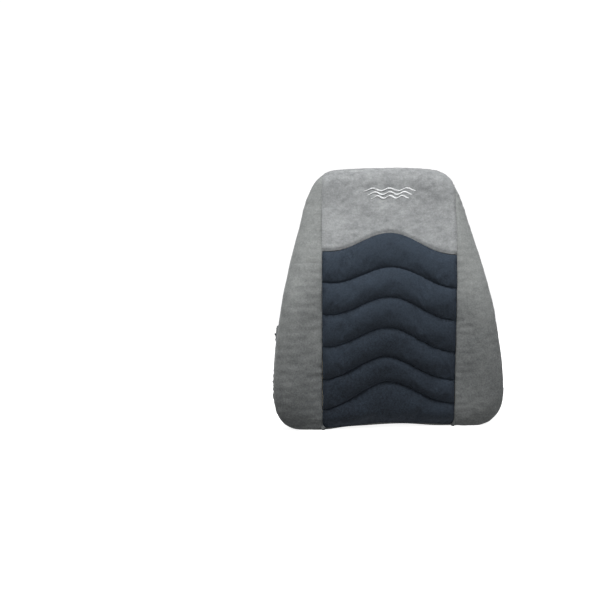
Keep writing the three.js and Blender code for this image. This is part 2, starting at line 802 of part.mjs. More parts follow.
// From the left seam to the socket's bar, round it, and back under itself.
function strapShort() {
  const seamY = backY - bandDepth(webSeamHeight) + seamGap;
  const wall = (z) => new THREE.Vector3(-outlineHalf(z), 0, z);
  const up = wall(webSeamHeight + webWidth / 2).sub(wall(webSeamHeight - webWidth / 2)).normalize();
  const out = up.clone().cross(Y).negate();
  if (out.x > 0) out.negate();
  const start = wall(webSeamHeight).setY(seamY).addScaledVector(out, layer);
  const centre = inBuckle(socketBar, 0);
  const across = buckleAxis(2);
  const run = centre.clone().sub(start).projectOnPlane(across).normalize();
  const side = across.clone().cross(run);
  if (side.x > 0) side.negate();
  const onLoop = (a) =>
    centre
      .clone()
      .addScaledVector(side, loopRadius * Math.cos(a))
      .addScaledVector(run, loopRadius * Math.sin(a));
  const slant = centre.clone().sub(start).normalize();
  const lean = up.clone().projectOnPlane(slant).normalize();
  const loop = arc(0, 180, loopSteps).map((a) => ({ middle: onLoop(a), across }));
  const straight = straightShares.map((t) => ({
    middle: start.clone().lerp(onLoop(0), t),
    across: lean.clone().lerp(across, t).normalize(),
  }));
  const fold = foldShares.map((t) => ({
    middle: onLoop(0)
      .addScaledVector(run, -t * foldLength)
      .addScaledVector(side, mix(-2 * loopRadius, -webThick - webClear, smooth(t * foldHaste))),
    across,
  }));
  return ribbon([...straight, ...loop, ...fold]);
}

// ---- Assembly -----------------------------------------------------------------------------

const cloth = (color) => new THREE.MeshStandardMaterial({ color, roughness: 0.95, metalness: 0 });
const plastic = (color) => new THREE.MeshStandardMaterial({ color, roughness: 0.3, metalness: 0 });
const metal = (color) => new THREE.MeshStandardMaterial({ color, roughness: 0.35, metalness: 1 });

function piece(parent, name, solid, material) {
  const mesh = new THREE.Mesh(geometryOf(solid), material);
  mesh.name = name;
  parent.add(mesh);
  return mesh;
}

const cushion = new THREE.Group();
const velourLight = 0x8a8d8c;
const velourDark = 0x2f3640;
const velourTop = 0x969999;
const webGrey = 0x626868;
const foamCream = 0xd8cfb4;
const waddingWhite = 0xe8e8e4;
const tapeGrey = 0x4a4d4f;
const stopGrey = 0x8c8c8a;
const zipGrey = 0x3a3c3e;
const buckleBlack = 0x14171a;
const coverColours = { top_panel: velourTop, quilt_face: velourDark };

for (const [name, solid] of Object.entries(coverPieces())) {
  piece(cushion, name, solid, cloth(coverColours[name] ?? velourLight));
}
for (const [name, solid] of Object.entries(paddingPieces())) {
  piece(cushion, name, solid, cloth(name === "foam_core" ? foamCream : waddingWhite));
}

const zip = new THREE.Group();
zip.position.set(0, 0, zipHeight);
piece(zip, "zip_tape_upper", zipHalf(1), cloth(tapeGrey));
piece(zip, "zip_tape_lower", zipHalf(-1), cloth(tapeGrey));
piece(zip, "zip_stop_left", zipStop(-1), metal(stopGrey));
piece(zip, "zip_stop_right", zipStop(1), metal(stopGrey));
const slider = piece(zip, "zip_slider", zipSlider(), metal(zipGrey));
slider.position.set(sliderX, tapeY, 0);
const pull = piece(zip, "zip_pull", zipPull(), metal(zipGrey));
pull.position.set(sliderX, pullY, 0);
cushion.add(zip);

const buckle = new THREE.Group();
buckle.applyMatrix4(buckleMatrix);
piece(buckle, "buckle_socket", buckleSocket(), plastic(buckleBlack));
piece(buckle, "buckle_plug", bucklePlug(), plastic(buckleBlack));
piece(buckle, "buckle_prong_upper", buckleProng(), plastic(buckleBlack));
piece(buckle, "buckle_prong_lower", buckleProng().mirror([0, 0, 1]), plastic(buckleBlack));
cushion.add(buckle);

piece(cushion, "strap_short", strapShort(), cloth(webGrey));
piece(cushion, "strap_long", strapLong(), cloth(webGrey));

export default cushion;
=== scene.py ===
# %% [markdown]
# # A lumbar support cushion
# A foam wedge sits in a sewn velour cover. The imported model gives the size, the joints and the
# hard parts. This lesson makes the cloth, the stitching, the zip and the webbing around it, and
# gives every surface its finish. All lengths are in metres, with +Z up and the front facing -Y.

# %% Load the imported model
import json
import math

import bmesh
import bpy
import numpy as np
from mathutils import Matrix, Vector


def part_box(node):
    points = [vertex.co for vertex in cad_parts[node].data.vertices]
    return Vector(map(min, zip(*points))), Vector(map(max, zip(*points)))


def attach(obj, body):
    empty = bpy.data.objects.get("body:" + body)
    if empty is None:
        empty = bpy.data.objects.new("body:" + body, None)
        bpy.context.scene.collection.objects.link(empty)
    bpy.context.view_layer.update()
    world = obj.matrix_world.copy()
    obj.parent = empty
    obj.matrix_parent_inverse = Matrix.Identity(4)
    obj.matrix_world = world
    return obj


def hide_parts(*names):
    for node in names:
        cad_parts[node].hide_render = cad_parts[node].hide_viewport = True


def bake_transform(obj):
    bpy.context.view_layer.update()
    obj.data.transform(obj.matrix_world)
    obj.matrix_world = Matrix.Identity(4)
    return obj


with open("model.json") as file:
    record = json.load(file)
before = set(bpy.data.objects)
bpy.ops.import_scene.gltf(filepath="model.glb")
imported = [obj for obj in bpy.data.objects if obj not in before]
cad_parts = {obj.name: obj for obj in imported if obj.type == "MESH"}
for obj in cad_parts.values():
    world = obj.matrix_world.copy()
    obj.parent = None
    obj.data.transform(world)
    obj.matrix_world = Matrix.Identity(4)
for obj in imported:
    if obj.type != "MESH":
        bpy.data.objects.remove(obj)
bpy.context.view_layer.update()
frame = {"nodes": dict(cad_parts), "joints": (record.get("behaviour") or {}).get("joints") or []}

# %% [markdown]
# ## The camera and the light
# The cushion stands on white, seen almost straight on, with a big soft light above it. The camera
# comes first, because every later choice is judged through it. Its sideways shift puts the cushion
# right of the middle without turning the view.

# %% Camera and small helpers
MM = 0.001
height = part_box("side_band_main")[1].z
half_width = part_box("side_band_bottom")[1].x
back_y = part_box("back_panel_upper")[1].y

def new_object(name, data):
    """An object with this data, linked to the scene."""
    piece = bpy.data.objects.new(name, data)
    bpy.context.scene.collection.objects.link(piece)
    return piece


def along(points):
    """The distance of each point along the line that they make, from the first."""
    return np.concatenate([[0], np.cumsum(np.linalg.norm(np.diff(points, axis=0), axis=1))])


def unit(v):
    return v / np.linalg.norm(v, axis=-1, keepdims=True)


def point_numbers(*shape):
    return np.arange(np.prod(shape)).reshape(shape)


def quads(index):
    """The four corners of each cell in a grid of point numbers."""
    corners = [index[:-1, :-1], index[:-1, 1:], index[1:, 1:], index[1:, :-1]]
    return np.stack(corners, axis=-1).reshape(-1, 4)


def closed_round(index):
    """A grid of point numbers whose rows run round and end where they began."""
    return np.concatenate([index, index[:, :1]], axis=1)


def smooth_object(name, points, faces):
    """A smoothly shaded object from an array of points and a list of faces."""
    mesh = bpy.data.meshes.new(name)
    mesh.from_pydata(points.reshape(-1, 3).tolist(), [], faces)
    mesh.polygons.foreach_set("use_smooth", np.ones(len(mesh.polygons), bool))
    return new_object(name, mesh)


def turn_outwards(mesh, merge=0):
    """Turns every face outwards, once points closer than `merge` are one."""
    shape = bmesh.new()
    shape.from_mesh(mesh)
    if merge:
        bmesh.ops.remove_doubles(shape, verts=shape.verts, dist=merge)
    bmesh.ops.recalc_face_normals(shape, faces=shape.faces)
    shape.to_mesh(mesh)
    shape.free()


camera_distance = 1.40
camera_turn = math.radians(-3.5)  # towards the left side
camera_rise = math.radians(1.5)
camera_roll = math.radians(-1.1)
aim = Vector((0, -0.02, 0.5 * height))
offset = Vector(
    (
        math.sin(camera_turn) * math.cos(camera_rise),
        -math.cos(camera_turn) * math.cos(camera_rise),
        math.sin(camera_rise),
    )
)
camera = new_object("camera", bpy.data.cameras.new("camera"))
camera.location = aim + offset * camera_distance
look = (aim - camera.location).to_track_quat("-Z", "Y").to_matrix().to_4x4()
camera.matrix_world = Matrix.Translation(camera.location) @ look @ Matrix.Rotation(camera_roll, 4, "Z")
camera.data.lens = 48.5
camera.data.shift_x = -0.1454
camera.data.shift_y = -0.0063
bpy.context.scene.camera = camera


# %% Lights, floor and surroundings
def area_light(name, place, target, size, power, tint=(1, 1, 1)):
    """A square lamp of the given size that faces the target."""
    lamp = new_object(name, bpy.data.lights.new(name, "AREA"))
    lamp.data.size = size
    lamp.data.energy = power
    lamp.data.color = tint
    lamp.location = place
    lamp.rotation_euler = (Vector(target) - Vector(place)).to_track_quat("-Z", "Y").to_euler()


area_light("key_above", (-0.25, -0.74, 1.72), (0, 0, 0.25), 0.7, 35)
area_light("fill_front", (-0.6, -2.2, 0.8), (0, 0, 0.25), 1.4, 2.5)
area_light("fill_right", (1.9, -0.9, 0.6), (0, 0, 0.25), 0.9, 9)
area_light("fill_back", (0.9, 2.0, 1.3), (0, 0, 0.2), 1.4, 12)

world = bpy.data.worlds.new("studio")
world.use_nodes = True
sky = world.node_tree.nodes
sky["Background"].inputs["Color"].default_value = (1, 1, 1, 1)
sky["Background"].inputs["Strength"].default_value = 0.20
backdrop_sky = sky.new("ShaderNodeBackground")
backdrop_sky.inputs["Color"].default_value = (1, 1, 1, 1)
backdrop_sky.inputs["Strength"].default_value = 1.05
seen = sky.new("ShaderNodeLightPath")
both = sky.new("ShaderNodeMixShader")
link = world.node_tree.links.new
link(seen.outputs["Is Camera Ray"], both.inputs[0])
link(sky["Background"].outputs[0], both.inputs[1])
link(backdrop_sky.outputs[0], both.inputs[2])
link(both.outputs[0], sky["World Output"].inputs["Surface"])
bpy.context.scene.world = world
bpy.context.scene.view_settings.view_transform = "Standard"

floor_half = 9.0
signs = [(-1, -1), (1, -1), (1, 1), (-1, 1)]
floor_mesh = bpy.data.meshes.new("floor")
floor_mesh.from_pydata([(x * floor_half, y * floor_half, 0) for x, y in signs], [], [(0, 1, 2, 3)])
floor = new_object("floor", floor_mesh)
floor.visible_diffuse = False  # the white floor is lit, but throws no light up on the cushion
white = bpy.data.materials.new("white_floor")
white.use_nodes = True
glow = white.node_tree.nodes["Principled BSDF"]
glow.inputs["Base Color"].default_value = (0.8, 0.8, 0.8, 1)
glow.inputs["Roughness"].default_value = 0.9
glow.inputs["Emission Color"].default_value = (1, 1, 1, 1)
glow.inputs["Emission Strength"].default_value = 0.88
floor_mesh.materials.append(white)
print("camera at", [round(v, 3) for v in camera.location])

# %% [markdown]
# ## The cushion as a formula
# The cushion is one smooth body, cut into panels by its seams. Its front view is an outline made
# of curves, and its depth is a formula of the place inside the outline: the side band gets deeper
# towards the foot, the front rounds over from the band's seam, and the middle is sunk between two
# wings. Every panel below asks the same formula, so panels always meet at their seams.


# %% Outline
def bezier(a, b, c, d, steps=40):
    """A cubic curve: its four points, weighted by (1-t)^3, 3t(1-t)^2, 3t^2(1-t) and t^3."""
    t = np.linspace(0, 1, steps, endpoint=False)[:, None]
    a, b, c, d = (np.array(p, float) for p in (a, b, c, d))
    return a * (1 - t) ** 3 + 3 * b * t * (1 - t) ** 2 + 3 * c * t**2 * (1 - t) + d * t**3


bottom_arch = 6 * MM
foot_run, foot_rise, foot_flat = 50 * MM, 60 * MM, 24 * MM
shoulder_half, shoulder_drop, shoulder_lean = 139 * MM, 60 * MM, 0.277
crown_half, crown_drop = 78 * MM, 2.5 * MM


def half_outline():
    """The right half, from the middle of the foot up to the middle of the crown."""
    inner = half_width - foot_run - foot_flat
    shoulder, crown = height - shoulder_drop, height - crown_drop
    return np.vstack(
        [
            bezier((0, bottom_arch), (0.4 * inner, bottom_arch), (0.75 * inner, 0), (inner, 0)),
            bezier((inner, 0), (inner + 8 * MM, 0), (inner + 16 * MM, 0), (inner + foot_flat, 0), 8),
            bezier(
                (half_width - foot_run, 0),
                (half_width - 0.4 * foot_run, 0),
                (half_width, 0.4 * foot_rise),
                (half_width, foot_rise),
            ),
            bezier(
                (half_width, foot_rise),
                (half_width, foot_rise + 110 * MM),
                (shoulder_half + 80 * MM * shoulder_lean, shoulder - 77 * MM),
                (shoulder_half, shoulder),
                80,
            ),
            bezier(
                (shoulder_half, shoulder),
                (shoulder_half - 36 * MM * shoulder_lean, shoulder + 35 * MM),
                (crown_half + 34 * MM, crown - 1.7 * MM),
                (crown_half, crown),
            ),
            bezier((crown_half, crown), (crown_half - 25 * MM, height - MM), (25 * MM, height), (0, height)),
            [[0, height]],
        ]
    )


right_half = half_outline()
foot_part, wall_part, shoulder_start, crown_part = slice(48), slice(60, 200), 150, slice(-100, None)
outline = np.vstack([right_half, (right_half[1:-1] * (-1, 1))[::-1]])
closed_outline = np.vstack([outline, outline[:1]])
outline_run = along(closed_outline)
perimeter = outline_run[-1]
print("outline points", len(outline), "perimeter", round(perimeter, 3))


def on_outline(run):
    """The outline's point at each distance along it, anticlockwise from the middle of the foot."""
    run = np.mod(run, perimeter)
    return np.stack([np.interp(run, outline_run, closed_outline[:, k]) for k in (0, 1)], axis=-1)


def inwards(run):
    """The direction into the cushion: the outline's direction turned a quarter anticlockwise."""
    ahead = unit(on_outline(run + 3 * MM) - on_outline(run - 3 * MM))
    return np.stack([-ahead[..., 1], ahead[..., 0]], axis=-1)


def outline_distance(x, z):
    """Each point's distance to the nearest stretch of the outline, found for all stretches at once."""
    a, b = closed_outline[:-1], closed_outline[1:]
    run = b - a
    length2 = (run**2).sum(1)
    points = np.stack([np.ravel(x), np.ravel(z)], axis=1)
    nearest = np.empty(len(points))
    for start in range(0, len(points), 4000):
        part = points[start : start + 4000, None, :] - a
        t = np.clip((part * run).sum(2) / length2, 0, 1)
        gap = part - t[..., None] * run
        nearest[start : start + 4000] = np.sqrt((gap**2).sum(2).min(1))
    return nearest.reshape(np.shape(x))


# %% Depth of the body
def mix(a, b, t):
    return a + (b - a) * t


def smooth(t):
    """0 before 0, 1 after 1, and 3t^2 - 2t^3 between."""
    t = np.clip(t, 0, 1)
    return t * t * (3 - 2 * t)


band_top, band_foot = 10 * MM, 64 * MM
taper_drop, taper_run = 25 * MM, 245 * MM
front_rise, front_loss, bulge_height = 26 * MM, 14 * MM, 150 * MM
edge_run = 35 * MM
saddle_depth, saddle_top, saddle_run, saddle_side = 14 * MM, 320 * MM, 150 * MM, 45 * MM
saddle_foot, saddle_foot_share = 100 * MM, 0.4
panel_half_foot, panel_half_top = 113.5 * MM, 119 * MM
panel_shift_foot, panel_shift_top = -3 * MM, 10 * MM


def band_depth(z):
    """How deep the side band is at a height: thin at the top, full over the lower half."""
    return mix(band_top, band_foot, smooth((height - taper_drop - z) / taper_run))


def panel_half(z):
    """Half the width of the middle panel at a height."""
    return mix(panel_half_foot, panel_half_top, np.clip(z / height, 0, 1))


def panel_middle(z):
    """The middle panel's own middle at a height: it is sewn on a little askew."""
    return mix(panel_shift_foot, panel_shift_top, np.clip(z / height, 0, 1))


def front_depth(x, z):
    """Depth of the front: the band's depth, plus a quarter-ellipse edge times the rise less the saddle."""
    inset = np.minimum(outline_distance(x, z), edge_run)
    edge = np.sqrt(1 - (1 - inset / edge_run) ** 2)
    rise = front_rise - front_loss * np.clip((bulge_height - z) / bulge_height, 0, 1) ** 2
    sunk = smooth((panel_half(z) + saddle_side - np.abs(x - panel_middle(z))) / saddle_side)
    foot = mix(saddle_foot_share, 1, smooth(z / saddle_foot))
    saddle = saddle_depth * sunk * foot * smooth((saddle_top - z) / saddle_run)
    return band_depth(z) + (rise - saddle) * edge


def on_front(x, z):
    """Points on the front, for arrays of x and z."""
    return np.stack([x, back_y - front_depth(x, z), z], axis=-1)


# %% [markdown]
# ## From a grid of points to cloth
# A panel is a grid of points, rows by columns. Cloth is never perfectly smooth, so each grid is
# lifted along its own normals: down at a seam, where the thread pulls it in, and up and down by a
# little where the pile and the foam push. The ripples are sums of sine waves with a seeded random
# direction, so they come out the same each time.


# %% Grid helpers
def grid_normals(points):
    """Unit normals of a grid: the cross product of its two directions."""
    normal = np.cross(np.gradient(points, axis=1), np.gradient(points, axis=0))
    return normal / np.maximum(np.linalg.norm(normal, axis=-1, keepdims=True), 1e-12)


def lifted(points, lift):
    """The grid moved along its normals by the lift at each point."""
    return points + grid_normals(points) * np.asarray(lift)[..., None]


def ripples(a, b, wavelength, seed, count=9):
    """Smooth noise of about unit size: the mean of sine waves with random directions and phases."""
    dice = np.random.default_rng(seed)
    total = np.zeros(np.broadcast(a, b).shape)
    for _ in range(count):
        angle, phase = dice.uniform(0, 2 * np.pi, 2)
        pitch = wavelength * dice.uniform(0.7, 1.5)
        total += np.sin(2 * np.pi * (a * np.cos(angle) + b * np.sin(angle)) / pitch + phase)
    return total * math.sqrt(2 / count)


def seam_dip(distance, depth=3.2 * MM, width=3.5 * MM):
    """How far cloth is pulled in at this distance from a seam: a bell curve."""
    return -depth * np.exp(-((distance / width) ** 2))


def tucked(points, outward, depth):
    """The grid with one more ring of points round it, turned in towards the foam: a seam allowance."""
    around = ((1, 1), (1, 1), (0, 0))
    wide = np.pad(points, around, mode="edge")
    normal = np.pad(grid_normals(points), around, mode="edge") * outward
    core = wide * (0.5, 0, 0.5) + (0, 0, 0.25 * height) - wide
    inward = unit(unit(core) - 1.3 * normal) * depth
    near_floor = wide[..., 2] < 4 * MM
    inward[near_floor, 2] = np.abs(inward[near_floor, 2])
    inward[1:-1, 1:-1] = 0
    return wide + inward


def cloth_object(name, points, outward=1, thick=1.1 * MM, tuck=4.0 * MM):
    """A mesh from a grid of points, with a UV map in metres along the grid and a real thickness."""
    if tuck:
        points = tucked(points, outward, tuck)
    # the foot lies flat on the floor, and nothing stands out past the flat back
    points = np.clip(points, (-np.inf, -np.inf, 0), (np.inf, back_y, np.inf))
    faces = quads(point_numbers(*points.shape[:2]))
    if outward < 0:
        faces = faces[:, ::-1]
    piece = smooth_object(name, points, faces.tolist())
    step_u = np.linalg.norm(np.diff(points, axis=1), axis=-1).mean(0)
    step_v = np.linalg.norm(np.diff(points, axis=0), axis=-1).mean(1)
    u = np.concatenate([[0], np.cumsum(step_u)])
    v = np.concatenate([[0], np.cumsum(step_v)])
    uv_grid = np.stack(np.meshgrid(u, v), axis=-1)
    uv = uv_grid.reshape(-1, 2)[faces]
    layer = piece.data.uv_layers.new(name="cloth")
    layer.data.foreach_set("uv", uv.reshape(-1).astype(np.float32))
    if thick:
        wall = piece.modifiers.new("cloth thickness", "SOLIDIFY")
        wall.thickness = thick
        wall.offset = -1
    return piece


def stands_for(piece, node, body="cushion"):
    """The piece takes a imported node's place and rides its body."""
    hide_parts(node)
    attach(piece, body)
    return piece


def even_steps(place, count):
    """Shares of a line, from 0 to 1, that are evenly spaced along the curve that place(share) makes."""
    share = np.linspace(0, 1, 1500) ** 2
    run = along(place(share))
    return np.interp(np.linspace(0, run[-1], count), run, share)


# %% [markdown]
# ## The quilted middle
# The dark panel is velour over wadding, stitched through in waves. Each seam pulls a valley, and
# the wadding swells between two seams. The waves are nearly level at the sides and rise to a round
# peak in the middle, sharper and more like a chevron lower down.

# %% Quilting seams
wave_half, wave_sharpness = 112 * MM, 1.15
wave_edges = np.array([303, 247, 192, 137, 84.5, 39]) * MM  # each seam's height at the sides
wave_peaks = np.array([35, 30.5, 34.5, 37.5, 41, 44]) * MM  # how far its peak rises above that
wave_tilts = np.array([5, 7.3, 7.5, 7, 2, -3]) * MM  # how far its left end stands higher
wave_shifts = np.array([2.5, 5, 2, -1, -6, -2.5]) * MM  # how far its peak lies to the right
wave_edge, wave_count = wave_edges[0], len(wave_edges)


def wave_height(n, x):
    """Height of seam n at x: a raised cosine, mixed with a tent lower down, plus a slight tilt."""
    aside = x - panel_middle(wave_edges[n])
    reach = np.clip(np.abs(aside - wave_shifts[n]) / wave_half, 0, 1)
    bump = mix((0.5 + 0.5 * np.cos(np.pi * reach)) ** wave_sharpness, (1 - reach) ** 1.1, 0.09 * n)
    return wave_edges[n] + wave_peaks[n] * bump - wave_tilts[n] * aside / panel_half_foot


def foot_height(x):
    """Height of the outline's lower edge at x."""
    return np.interp(np.abs(x), right_half[foot_part, 0], right_half[foot_part, 1])


def crown_height(x):
    """Height of the outline's upper edge at x."""
    stretch = right_half[crown_part][::-1]
    return np.interp(np.abs(x), stretch[:, 0], stretch[:, 1])


def even_columns(count, crowd=0.35):
    """Numbers from -1 to 1 that crowd towards both ends, where the seams need fine points."""
    t = np.linspace(-1, 1, count)
    return mix(t, np.sin(t * np.pi / 2), crowd)


# %% Quilt grid: its rows follow the seams
def band_rows(count):
    """Shares from 0 to 1 that crowd towards both seams of a band."""
    t = np.linspace(0, 1, count, endpoint=False)
    return mix(t, 0.5 - 0.5 * np.cos(np.pi * t), 0.7)


quilt_columns, rows_per_band = 92, 21
s = even_columns(quilt_columns)


def at_level(level):
    """A row along a curve level(x), with x stepping evenly across the panel."""
    z = np.full(quilt_columns, wave_edge / 2)
    for _ in range(4):
        x = panel_middle(z) + s * (panel_half(z) - 0.15 * MM)
        z = level(x)
    return z


levels = [at_level(foot_height)]
levels += [at_level(lambda x, n=n: wave_height(n, x)) for n in range(wave_count - 1, -1, -1)]
levels[-1] -= 0.15 * MM
share = np.tile(band_rows(rows_per_band), wave_count)[:, None]
below = np.repeat(np.arange(wave_count), rows_per_band)
quilt_z = mix(np.array(levels)[below], np.array(levels)[below + 1], share)
quilt_z = np.vstack([quilt_z, levels[-1]])
share = np.vstack([share, [[1.0]]])
quilt_x = panel_middle(quilt_z) + s * (panel_half(quilt_z) - 0.05 * MM)
quilt_flat = on_front(quilt_x, quilt_z)
seam_rows = np.arange(0, len(quilt_z), rows_per_band)


# %% Quilt relief
def crease(x, z, middle, level, half, depth):
    """A short level fold: a bell curve across it, fading out at both ends."""
    return -depth * np.exp(-(((z - level) / (1.6 * MM)) ** 2)) * smooth(2 - 2 * np.abs(x - middle) / half)


puff_height, valley, side_hold_run, foot_hold_run = 11.0 * MM, -3.2 * MM, 14 * MM, 26 * MM
side_gap = (1 - np.abs(s)) * panel_half(quilt_z)
puff = np.sin(np.pi * share**0.72) ** 0.62  # fullest a little below the middle of a band
side_hold = np.sqrt(1 - (1 - np.clip(side_gap / side_hold_run, 0, 1)) ** 2)
foot_hold = smooth((quilt_z - levels[0]) / foot_hold_run)
near_seam = np.exp(-((np.minimum(share, 1 - share) / 0.22) ** 2))
pucker = ripples(quilt_x * 2.4, quilt_z * 0.6, 17 * MM, 11) * near_seam
quilt_lift = (
    valley
    + puff_height * puff * side_hold * mix(0.25, 1, foot_hold)
    + 0.15 * MM * pucker * side_hold
    + 0.5 * MM * ripples(quilt_x, quilt_z, 60 * MM, 12) * side_hold
    + seam_dip(side_gap, 1.5 * MM)
)
print("quilt grid", quilt_z.shape, "lift", quilt_lift.min().round(4), quilt_lift.max().round(4))


# %% [markdown]
# The drawn puffs are even, and stitched cloth isn't: it is cut a little too long for the distance
# between its seams, so the wadding's push folds it into fine drags. A short cloth simulation adds
# them. The seams are pinned, the cloth grows by less than two hundredths, and pressure lifts it. How
# far a point may move is capped, so the panel keeps its size.


# %% Cloth simulation
def inflated(points, pinned, pressure, growth, cap, frames=20):
    """The grid after a cloth simulation with its pinned points held, no point moved further than cap."""
    index = point_numbers(*points.shape[:2])
    mesh = bpy.data.meshes.new("cloth_start")
    mesh.from_pydata(points.reshape(-1, 3).tolist(), [], quads(index).tolist())
    piece = new_object("cloth_start", mesh)
    held = piece.vertex_groups.new(name="seams")
    held.add(index[pinned].tolist(), 1.0, "REPLACE")
    cloth = piece.modifiers.new("cloth", "CLOTH")
    rules = cloth.settings
    rules.quality = 6
    rules.mass = 0.15
    rules.tension_stiffness = rules.compression_stiffness = 12
    rules.shear_stiffness = 8
    rules.bending_stiffness = 2.0
    rules.vertex_group_mass = "seams"
    rules.shrink_min = -growth
    rules.use_pressure = True
    rules.uniform_pressure_force = pressure
    rules.effector_weights.gravity = 0
    cloth.collision_settings.use_collision = False
    cloth.point_cache.frame_end = frames
    for frame_number in range(1, frames + 1):
        bpy.context.scene.frame_set(frame_number)
    shown = piece.evaluated_get(bpy.context.evaluated_depsgraph_get())
    moved = np.empty(points.size, np.float32)
    shown.data.vertices.foreach_get("co", moved)
    bpy.context.scene.frame_set(1)
    bpy.data.objects.remove(piece)
    step = moved.reshape(points.shape).astype(float) - points
    far = np.linalg.norm(step, axis=-1, keepdims=True)
    print("cloth moved", (far.mean() / MM).round(2), "mm on average,", (far.max() / MM).round(2), "at most")
    return points + step * np.minimum(1, cap / np.maximum(far, 1e-9))


held = np.zeros(quilt_z.shape, bool)
held[seam_rows] = held[:, (0, -1)] = True
start = lifted(quilt_flat, valley + (quilt_lift - valley) * 0.9)
quilt_surface = inflated(start, held, 2.5, 0.016, 4.0 * MM)
extra = crease(quilt_x, quilt_z, 8 * MM, 320 * MM, 32 * MM, 0.7 * MM)
quilt_surface = lifted(quilt_surface, extra + 0 * quilt_z)

# %% Quilt cloth
quilt = cloth_object("quilt_cloth", quilt_surface)
finer = quilt.modifiers.new("finer cloth", "SUBSURF")
finer.levels = finer.render_levels = 1
stands_for(quilt, "quilt_face")

# %% [markdown]
# ## The plain panels of the front
# The light panel above the quilt and the two side bolsters lie on the foam with no wadding, so
# they are smooth, with a soft dip at each seam and a few faint drag lines. A bolster is a strip
# between the middle seam and the outline: a point is mixed from a seam point to an outline point.

# %% Top panel
top_columns, top_rows = 170, 120
s = even_columns(top_columns)
low = high = np.full(top_columns, wave_edge)
for _ in range(6):
    low = wave_height(0, panel_middle(low) + s * panel_half(low)) + 0.15 * MM
    high = crown_height(panel_middle(high) + s * panel_half(high))
crown_share = 1 - even_steps(
    lambda t: np.stack([t * 0.14, front_depth(0 * t, height - t * 0.14)], axis=1), top_rows
)[::-1, None]
top_z = mix(low, high - 0.02 * MM, crown_share)
top_x = panel_middle(top_z) + s * (panel_half(top_z) - 0.15 * MM)
top_flat = on_front(top_x, top_z)
top_flat[-1, :, 1] = back_y - band_depth(top_z[-1])  # the last row closes on the side band
side_gap = (1 - np.abs(s)) * panel_half(top_z)
low_gap = top_z - low
top_lift = (
    seam_dip(side_gap, 1.8 * MM, 3 * MM)
    + seam_dip(low_gap, 2.4 * MM, 4 * MM)
    + 0.35 * MM * ripples(top_x, top_z, 70 * MM, 21)
    + 0.12 * MM * ripples(top_x, top_z, 16 * MM, 22)
)
top_panel = cloth_object("top_panel_cloth", lifted(top_flat, top_lift))
stands_for(top_panel, "top_panel")


# %% Bolsters
def bolster(side, name, node):
    """A strip from the middle seam (0) to the outline (1), carried up from the foot to the shoulder."""
    rows, columns = 330, 74
    seam_foot = panel_half_foot + side * panel_shift_foot
    start = np.interp(seam_foot, right_half[foot_part, 0], outline_run[foot_part])
    upper = right_half[shoulder_start:]
    seam_reach = panel_half(upper[:, 1]) + side * panel_middle(upper[:, 1])
    end = outline_run[shoulder_start + np.argmax(seam_reach > upper[:, 0])]
    run = np.linspace(start, end, rows)
    edge = on_outline(run)
    level = 130 * MM  # below this the rows fan out towards the foot, above it towards the shoulder
    level_run = np.interp(level, right_half[90:200, 1], outline_run[90:200])
    seam_z = np.interp(run, [start, level_run, end], [edge[0, 1], level, edge[-1, 1]])
    seam_x = panel_half(seam_z) + side * panel_middle(seam_z) + 0.15 * MM
    t = (1 - (1 - np.linspace(0, 1, columns)) ** 1.6)[None, :]
    x = mix(seam_x[:, None], edge[:, :1], t)
    z = mix(seam_z[:, None], edge[:, 1:], t)
    width = np.hypot(edge[:, 0] - seam_x, edge[:, 1] - seam_z)[:, None]
    seed = 31 if side > 0 else 41
    drag = ripples(x * 0.5, z * 2.2, 34 * MM, seed + 2)
    lift = (
        seam_dip(t * width, 1.8 * MM, 3 * MM)
        + seam_dip((1 - t) * width, 1.0 * MM, 3 * MM)
        + 0.5 * MM * ripples(x, z, 80 * MM, seed)
        + 0.16 * MM * ripples(x, z, 18 * MM, seed + 1)
        + 0.22 * MM * drag * np.exp(-((t * width) / (30 * MM)) ** 2)
        + (side < 0) * crease(x, z, 140 * MM, 287 * MM, 34 * MM, 0.6 * MM)
    )
    points = lifted(on_front(side * x, z), side * lift)
    piece = cloth_object(name, points, outward=side, tuck=7 * MM)
    stands_for(piece, node)
    return piece


bolster_left = bolster(-1, "bolster_left_cloth", "bolster_panel_left")
bolster_right = bolster(1, "bolster_right_cloth", "bolster_panel_right")
print("bolster faces", len(bolster_left.data.polygons))

# %% [markdown]
# ## The side band
# A long strip runs round the edge between the front and the back. It is flat across, and its back
# edge rolls over on to the back. A second, lower strip is joined to it by a slanting cross seam
# on each side, and the cloth puckers where that seam runs into the front seam.

# %% Band surface
back_round, heel_rise, heel_depth = 14 * MM, 40 * MM, 24 * MM


def back_rounding(run):
    """How the back's edge rounds at a place on the outline: (distance inwards, depth)."""
    p, n = on_outline(run), inwards(run)
    side = np.minimum(back_round, 0.5 * band_depth(p[..., 1]))
    down = np.clip(n[..., 1], 0, 1) ** 2 * (p[..., 1] < height / 2)
    return mix(side, heel_rise, down), mix(side, heel_depth, down)


def on_band(run, across):
    """A point of the band: across goes from the front seam (0) straight back, then round the back's
    edge as a quarter ellipse, to the back seam (1)."""
    p, n = on_outline(run), inwards(run)
    inset, depth = back_rounding(run)
    straight = band_depth(p[..., 1]) - depth
    bend = 0.5 * np.pi * np.sqrt((inset**2 + depth**2) / 2)
    turn_at = straight / (straight + bend)
    flat = np.clip(across / turn_at, 0, 1)
    angle = np.clip((across - turn_at) / (1 - turn_at), 0, 1) * 0.5 * np.pi
    moved = inset * (1 - np.cos(angle))
    y = back_y - depth * (1 - np.sin(angle)) - straight * (1 - flat)
    return np.stack([p[..., 0] + n[..., 0] * moved, y, p[..., 1] + n[..., 1] * moved], axis=-1)


cross_front, cross_back, cross_bend = 74 * MM, 102 * MM, 1.8
side_run = np.interp(cross_front, right_half[48:128, 1], outline_run[48:128])


